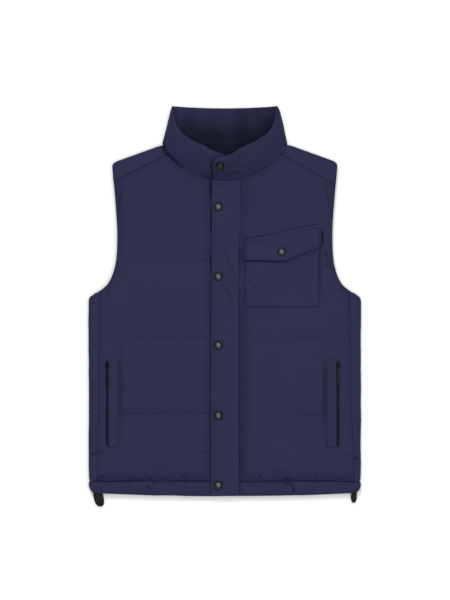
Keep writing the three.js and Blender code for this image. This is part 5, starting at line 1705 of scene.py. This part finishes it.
class VEST_OT_hand_pockets(bpy.types.Operator):
    """Welts and zips of the two hand pockets, with their sliders and pulls"""

    bl_idname = "vest.hand_pockets"
    bl_label = "Hand pockets"

    # painted shade on each slider and pull, where the welts and the zip's lips shade them
    PAINTED_SHADE = {
        "zip_pull_right": 0.75, "zip_pull_left": 0.2, "zip_slider_right": 0.85, "zip_slider_left": 0.7,
    }
    COIL = (0.00085, 0.0023, 0.0009)  # length, width and height of a turn, in metres
    COIL_APART = 0.85  # from the middle of the zip to the turns of each side
    TAPE_THICK = 0.9
    BEVEL = 0.00028

    def execute(self, context):
        for pocket in HAND_POCKETS:
            tree = tree_of(bpy.data.objects[f"front_{pocket.name}_cloth"])
            self.make_welt(pocket, tree)
            self.make_zip(pocket, tree)
            for part, body in (("slider", "garment"), ("pull", f"pull_{pocket.name}")):
                self.make_metal(f"zip_{part}_{pocket.name}", body)
        return {"FINISHED"}

    def make_welt(self, pocket, tree):
        """One welt, higher at its open edge."""
        low, high = WELT_ENDS
        a, y = np.meshgrid(np.linspace(pocket.inner, pocket.outer, 18), np.linspace(low, high, 130))
        x = pocket.side * a
        under = softened(height_at(tree, x, y) + GAP, 10)
        across = (a - pocket.inner) / (pocket.outer - pocket.inner)
        ends = np.minimum(y - low, high - y)
        thick = lerp(1.7, 4.7, across) * lerp(0.6, 1, smoothstep(ends, 0, 9))
        rim = np.minimum(ends, pocket.outer - a)
        z = under + thick - rolled(rim, 2.0)
        z = z + 0.35 * noise(x, y, 22, 170) + 0.12 * noise(x, y, 6, 171)
        z -= 0.4 * groove(ends - 2.5, 0.9)
        # painted shade beside the welt's inner edge and across its ends
        patchy = 0.62 + 0.5 * noise(y, 0 * y, 17, 173)
        seam = np.maximum(patchy * groove(a - pocket.inner, 1.3), 0.25 * groove(ends, 0.9))
        shape = laid(x, y, z, under)
        piece = cloth_piece(f"pocket_welt_{pocket.name}", shape, seam)

    def make_zip(self, pocket, tree):
        """One zip: the tape that shows, and its coil."""
        low, high = ZIP_ENDS
        near = pocket.outer + 0.8
        a, y = np.meshgrid(np.linspace(near, near + ZIP_WIDTH, 12), np.linspace(low, high, 120))
        a = a + 0.6 * noise(y, 0 * y, 20, 172) * (a - near) / ZIP_WIDTH
        x = pocket.side * a
        under = softened(height_at(tree, x, y) + GAP, 8)
        z = under + self.TAPE_THICK
        shape = laid(x, y, z, under)
        node = f"pocket_zip_{pocket.name}"
        make_piece(node + "_tape", shape, finish("zip tape"), nodes=[node])
        s = sizes()
        ys = np.arange(low + 1, high - 1, s.tooth_pitch / MM)
        lines = []
        for edge in (-1, 1):
            shift = edge * s.tooth_pitch / MM / 4
            spots_x = np.full(len(ys), pocket.side * (near + ZIP_WIDTH / 2 + edge * self.COIL_APART))
            heights = np.interp(ys + shift, y[:, 0], z[:, 6]) + 0.35
            lines.append(placed(np.column_stack([spots_x, ys + shift, heights])))
        beads(
            f"pocket_zip_{pocket.name}_coil", lines, finish("zip coil"), s.tooth_pitch, *self.COIL,
            sides=8, unevenness=0.0, slot="zip_tape",
        )

    def make_metal(self, node, body):
        """A packed metal part with its edges softened."""
        bm = bmesh.new()
        bm.from_mesh(frame["nodes"][node].data)
        bmesh.ops.remove_doubles(bm, verts=bm.verts, dist=1e-6)
        bmesh.ops.dissolve_limit(bm, angle_limit=math.radians(3), verts=bm.verts, edges=bm.edges)
        mesh = bpy.data.meshes.new(node + "_metal")
        bm.to_mesh(mesh)
        bm.free()
        piece = new_object(node + "_metal", mesh)
        bevel = piece.modifiers.new("Soft edges", "BEVEL")
        bevel.width, bevel.segments, bevel.limit_method = self.BEVEL, 3, "ANGLE"
        bevel.angle_limit = math.radians(35)
        mesh.materials.clear()
        mesh.materials.append(finish("antique brass"))
        mesh.polygons.foreach_set("use_smooth", [True] * len(mesh.polygons))
        # painted shade on the metal part
        painted_shade = mesh.attributes.new("seam", "FLOAT", "POINT")
        painted_shade.data.foreach_set("value", [self.PAINTED_SHADE[node]] * len(mesh.vertices))
        settle(piece, body, [node])


class VEST_OT_snaps(bpy.types.Operator):
    """The caps of the press snaps"""

    bl_idname = "vest.snaps"
    bl_label = "Snaps"

    SIDES = 56
    HEIGHT = 3.5
    RADIUS = 8.5
    DARK_FROM = (0.72, 0.86)  # between these shares of the radius the rim's painted shade sets in
    PROFILE = [  # radius and height, as shares of the cap's
        (0.0, 0.0), (0.9, 0.0), (0.98, 0.08), (1.0, 0.2), (0.985, 0.36), (0.93, 0.5), (0.86, 0.56),
        (0.79, 0.53), (0.755, 0.46), (0.73, 0.47), (0.7, 0.6), (0.64, 0.74), (0.52, 0.86),
        (0.36, 0.94), (0.2, 0.985), (0.08, 1.0), (0.0, 1.0),
    ]

    def execute(self, context):
        for node in (*(f"snap_placket_{n}" for n in range(1, 6)), "snap_flap", "snap_collar"):
            self.make_cap(node)
        return {"FINISHED"}

    def make_cap(self, node):
        """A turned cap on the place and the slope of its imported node."""
        points = np.array([v.co for v in frame["nodes"][node].data.vertices], float) / MM
        middle = points.mean(0)
        up = np.linalg.svd(points - middle)[2][2]
        up = up if up[2] > 0 else -up
        foot = middle + up * ((points - middle) @ up).min() + (0, HEM_TO_ORIGIN, 0)
        side = np.cross(up, (0, 1, 0))
        side /= np.linalg.norm(side)
        ahead = np.cross(up, side)
        ring = np.linspace(0, 2 * np.pi, self.SIDES, endpoint=False)
        out = np.cos(ring)[:, None] * side + np.sin(ring)[:, None] * ahead
        inner = self.PROFILE[1:-1]
        rings = [foot + out * r * self.RADIUS + up * h * self.HEIGHT for r, h in inner]
        caps = np.vstack([*rings, foot, foot + up * self.HEIGHT])
        faces = []
        for k in range(len(inner) - 1):
            for i in range(self.SIDES):
                j = (i + 1) % self.SIDES
                a, b = k * self.SIDES, (k + 1) * self.SIDES
                faces.append([a + i, a + j, b + j, b + i])
        low, high = len(caps) - 2, len(caps) - 1
        last = (len(inner) - 1) * self.SIDES
        for i in range(self.SIDES):
            j = (i + 1) % self.SIDES
            faces += [[low, j, i], [high, last + i, last + j]]
        dark = np.repeat([smoothstep(r, *self.DARK_FROM) for r, _ in inner], self.SIDES)
        shaded = node == "snap_collar"  # its lower half is in the shade of the collar's slope
        if shaded:
            down = -np.concatenate([np.sin(ring) * r for r, _ in inner])
            dark = np.maximum(dark, 0.8 * smoothstep(down, -0.45, 0.5))
        dark = np.concatenate([dark, [1, 0.4 * shaded]])
        look = finish("gunmetal")
        make_piece(node + "_cap", (caps, faces), look, dark, nodes=[node])


class VEST_OT_toggles(bpy.types.Operator):
    """The ribbed cord toggles at the hem"""

    bl_idname = "vest.toggles"
    bl_label = "Toggles"

    # From the hem down: how far along, and the size there
    STATIONS = [
        (0, 0.84), (0.02, 0.93), (0.06, 1), (0.4, 1), (0.66, 0.96), (0.84, 0.78), (0.95, 0.52), (1, 0.3),
    ]
    HEIGHT = 11.4
    UNDER_HEM = 2.0  # how far it starts in under the hem
    LEAN_SHARE = 0.55  # share of its lean that its width gives way to
    RIB_DEPTH = 0.1
    ROWS, COLUMNS = 44, 120

    def execute(self, context):
        self.make_toggle("drawcord_toggle_right", 12, 5.0)
        self.make_toggle("drawcord_toggle_left", 8, -1.0)
        return {"FINISHED"}

    def make_toggle(self, node, ribs, lean):
        """One ribbed toggle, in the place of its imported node."""
        low, high = (np.array(corner) / MM + (0, HEM_TO_ORIGIN, 0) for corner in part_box(node))
        high[1] += self.UNDER_HEM
        given_way = abs(lean) * self.LEAN_SHARE
        width = high[0] - low[0] - given_way
        left = low[0] if lean > 0 else low[0] + given_way
        middle = left + width / 2
        at = np.linspace(0, 1, self.ROWS)[:, None]
        size = np.interp(at, *zip(*self.STATIONS))
        angle = np.linspace(0, 2 * np.pi, self.COLUMNS, endpoint=False)[None, :]
        ridge = 0.5 + 0.5 * np.cos(ribs * 1.5 * angle)
        sunk = (1 - ridge**0.6) * smoothstep(at, 0.08, 0.14) * (1 - smoothstep(at, 0.8, 0.9))
        rib = 1 - self.RIB_DEPTH * sunk
        soft = [np.sign(c) * np.abs(c) ** 0.72 for c in (np.cos(angle), np.sin(angle))]
        x = middle + lean * at + width / 2 * size * rib * soft[0]
        z = self.HEIGHT / 2 + self.HEIGHT / 2 * size * rib * soft[1]
        y = high[1] - (high[1] - low[1]) * at + 0 * x
        points = np.stack([x, y, z], -1)
        index = np.arange(self.ROWS * self.COLUMNS).reshape(self.ROWS, self.COLUMNS)
        after = np.roll(index, -1, axis=1)
        faces = np.stack([index[:-1], after[:-1], after[1:], index[1:]], -1).reshape(-1, 4).tolist()
        faces += [index[0].tolist(), index[-1].tolist()]
        look = finish("toggle plastic")
        shape = (points.reshape(-1, 3), faces)
        # the sunk share also paints shade down between the ribs
        make_piece(node + "_cap", shape, look, sunk, nodes=[node])


class VEST_OT_stitching(bpy.types.Operator):
    """The sewing that shows"""

    bl_idname = "vest.stitching"
    bl_label = "Stitching"

    BESIDE_POCKET = 200.0  # the chest pocket hides the left front's top line up to here

    def execute(self, context):
        pieces = bpy.data.objects
        self.sew_channels()
        ys = np.linspace(8, 626, 60)
        inset = x_on(PLACKET_EDGE, ys) + VEST_OT_placket.STITCH_INSET
        placket_line = [np.column_stack([inset, ys])]
        for name, lines, seed in (
            ("placket", placket_line, 5), ("chest_flap", self.flap_lines(), 6),
            ("chest_pocket", self.pocket_lines(), 7),
        ):
            sewn(name + "_stitches", lines, tree_of(pieces[name + "_cloth"]), seed=seed)
        for pocket in HAND_POCKETS:
            tree = tree_of(pieces[f"pocket_welt_{pocket.name}_cloth"])
            sewn(f"pocket_welt_{pocket.name}_stitches", self.welt_lines(pocket), tree, seed=8)
        return {"FINISHED"}

    def sew_channels(self):
        """The sewing of the channels across both fronts."""
        centre = PLACKET_RIGHT + 3
        for side, name in ((-1, "right"), (1, "left")):
            lines = []
            for channel in CHANNELS[side]:
                above = channel.side > ARMHOLE[0, 1]
                outer = x_on(ARMHOLE if above else SIDE_SEAM[side], channel.side)
                start = self.BESIDE_POCKET if above and side > 0 else centre
                x = side * np.linspace(start, outer - 5, 90)
                lines.append(np.column_stack([x, channel_y(channel, x)]))
            tree = tree_of(bpy.data.objects[f"front_{name}_cloth"])
            sewn(f"channel_stitches_{name}", lines, tree, sunk=0.5, size=0.9, seed=9)

    def flap_lines(self):
        """Lines inside the flap's edge and along its top."""
        x = np.linspace(FLAP_LEFT + 6, FLAP_RIGHT - 6, 60)
        low = flap_bottom(x) + np.where(x < FLAP_POINT, 6, 6.4)
        left = [(FLAP_LEFT + 6, chest_top(FLAP_LEFT + 6) - 2)]
        right = [(FLAP_RIGHT - 6, chest_top(FLAP_RIGHT - 6) - 2)]
        top = np.column_stack([x, chest_top(x) - 2.2])
        return [np.vstack([left, np.column_stack([x, low]), right]), top]

    def pocket_lines(self):
        """The line inside the pocket's three sewn edges."""
        inset, top = 2.2, 462.0
        right = CHEST_RIGHT - inset
        return [[
            (CHEST_LEFT + inset, top), (CHEST_LEFT + inset, CHEST_BOTTOM + inset),
            (right - 2, CHEST_BOTTOM + inset), (right, CHEST_BOTTOM + inset + 2), (right, top + 20),
        ]]

    def welt_lines(self, pocket):
        """Lines across both ends of a welt and along its seam."""
        low, high = WELT_ENDS
        near, far = pocket.side * (pocket.inner + 1.5), pocket.side * (pocket.outer - 2.5)
        ends = [[(near, y), (far, y)] for y in (low + 2.5, high - 2.5)]
        return [*ends, [(near, low + 4), (near, high - 4)]]


class VEST_PT_panel(bpy.types.Panel):
    """The vest's steps, sizes and colours"""

    bl_idname = "VEST_PT_panel"
    bl_label = "Quilted vest"
    bl_space_type = "VIEW_3D"
    bl_region_type = "UI"
    bl_category = "Vest"

    def draw(self, context):
        for step in STEPS:
            self.layout.operator(step.bl_idname)
        for group in (context.scene.vest_sizes, context.scene.vest_colours):
            for name in group.bl_rna.properties.keys():
                if name not in ("rna_type", "name"):
                    self.layout.prop(group, name)


STEPS = (
    VEST_OT_stage, VEST_OT_fronts, VEST_OT_sides, VEST_OT_back, VEST_OT_hem, VEST_OT_collar,
    VEST_OT_placket, VEST_OT_chest_pocket, VEST_OT_hand_pockets, VEST_OT_snaps, VEST_OT_toggles,
    VEST_OT_stitching,
)
CLASSES = (VestSizes, VestColours, *STEPS, VEST_PT_panel)


def register():
    """Registers the vest's classes and its settings."""
    for item in CLASSES:
        bpy.utils.register_class(item)
    bpy.types.Scene.vest_sizes = PointerProperty(type=VestSizes)
    bpy.types.Scene.vest_colours = PointerProperty(type=VestColours)


def unregister():
    """Takes the vest's classes and settings away again."""
    del bpy.types.Scene.vest_colours
    del bpy.types.Scene.vest_sizes
    for item in reversed(CLASSES):
        bpy.utils.unregister_class(item)


def main():
    """Dresses the vest step by step."""
    register()
    for step in STEPS:
        group, name = step.bl_idname.split(".")
        getattr(getattr(bpy.ops, group), name)()
    bpy.context.view_layer.update()


if __name__ == "__main__":
    main()
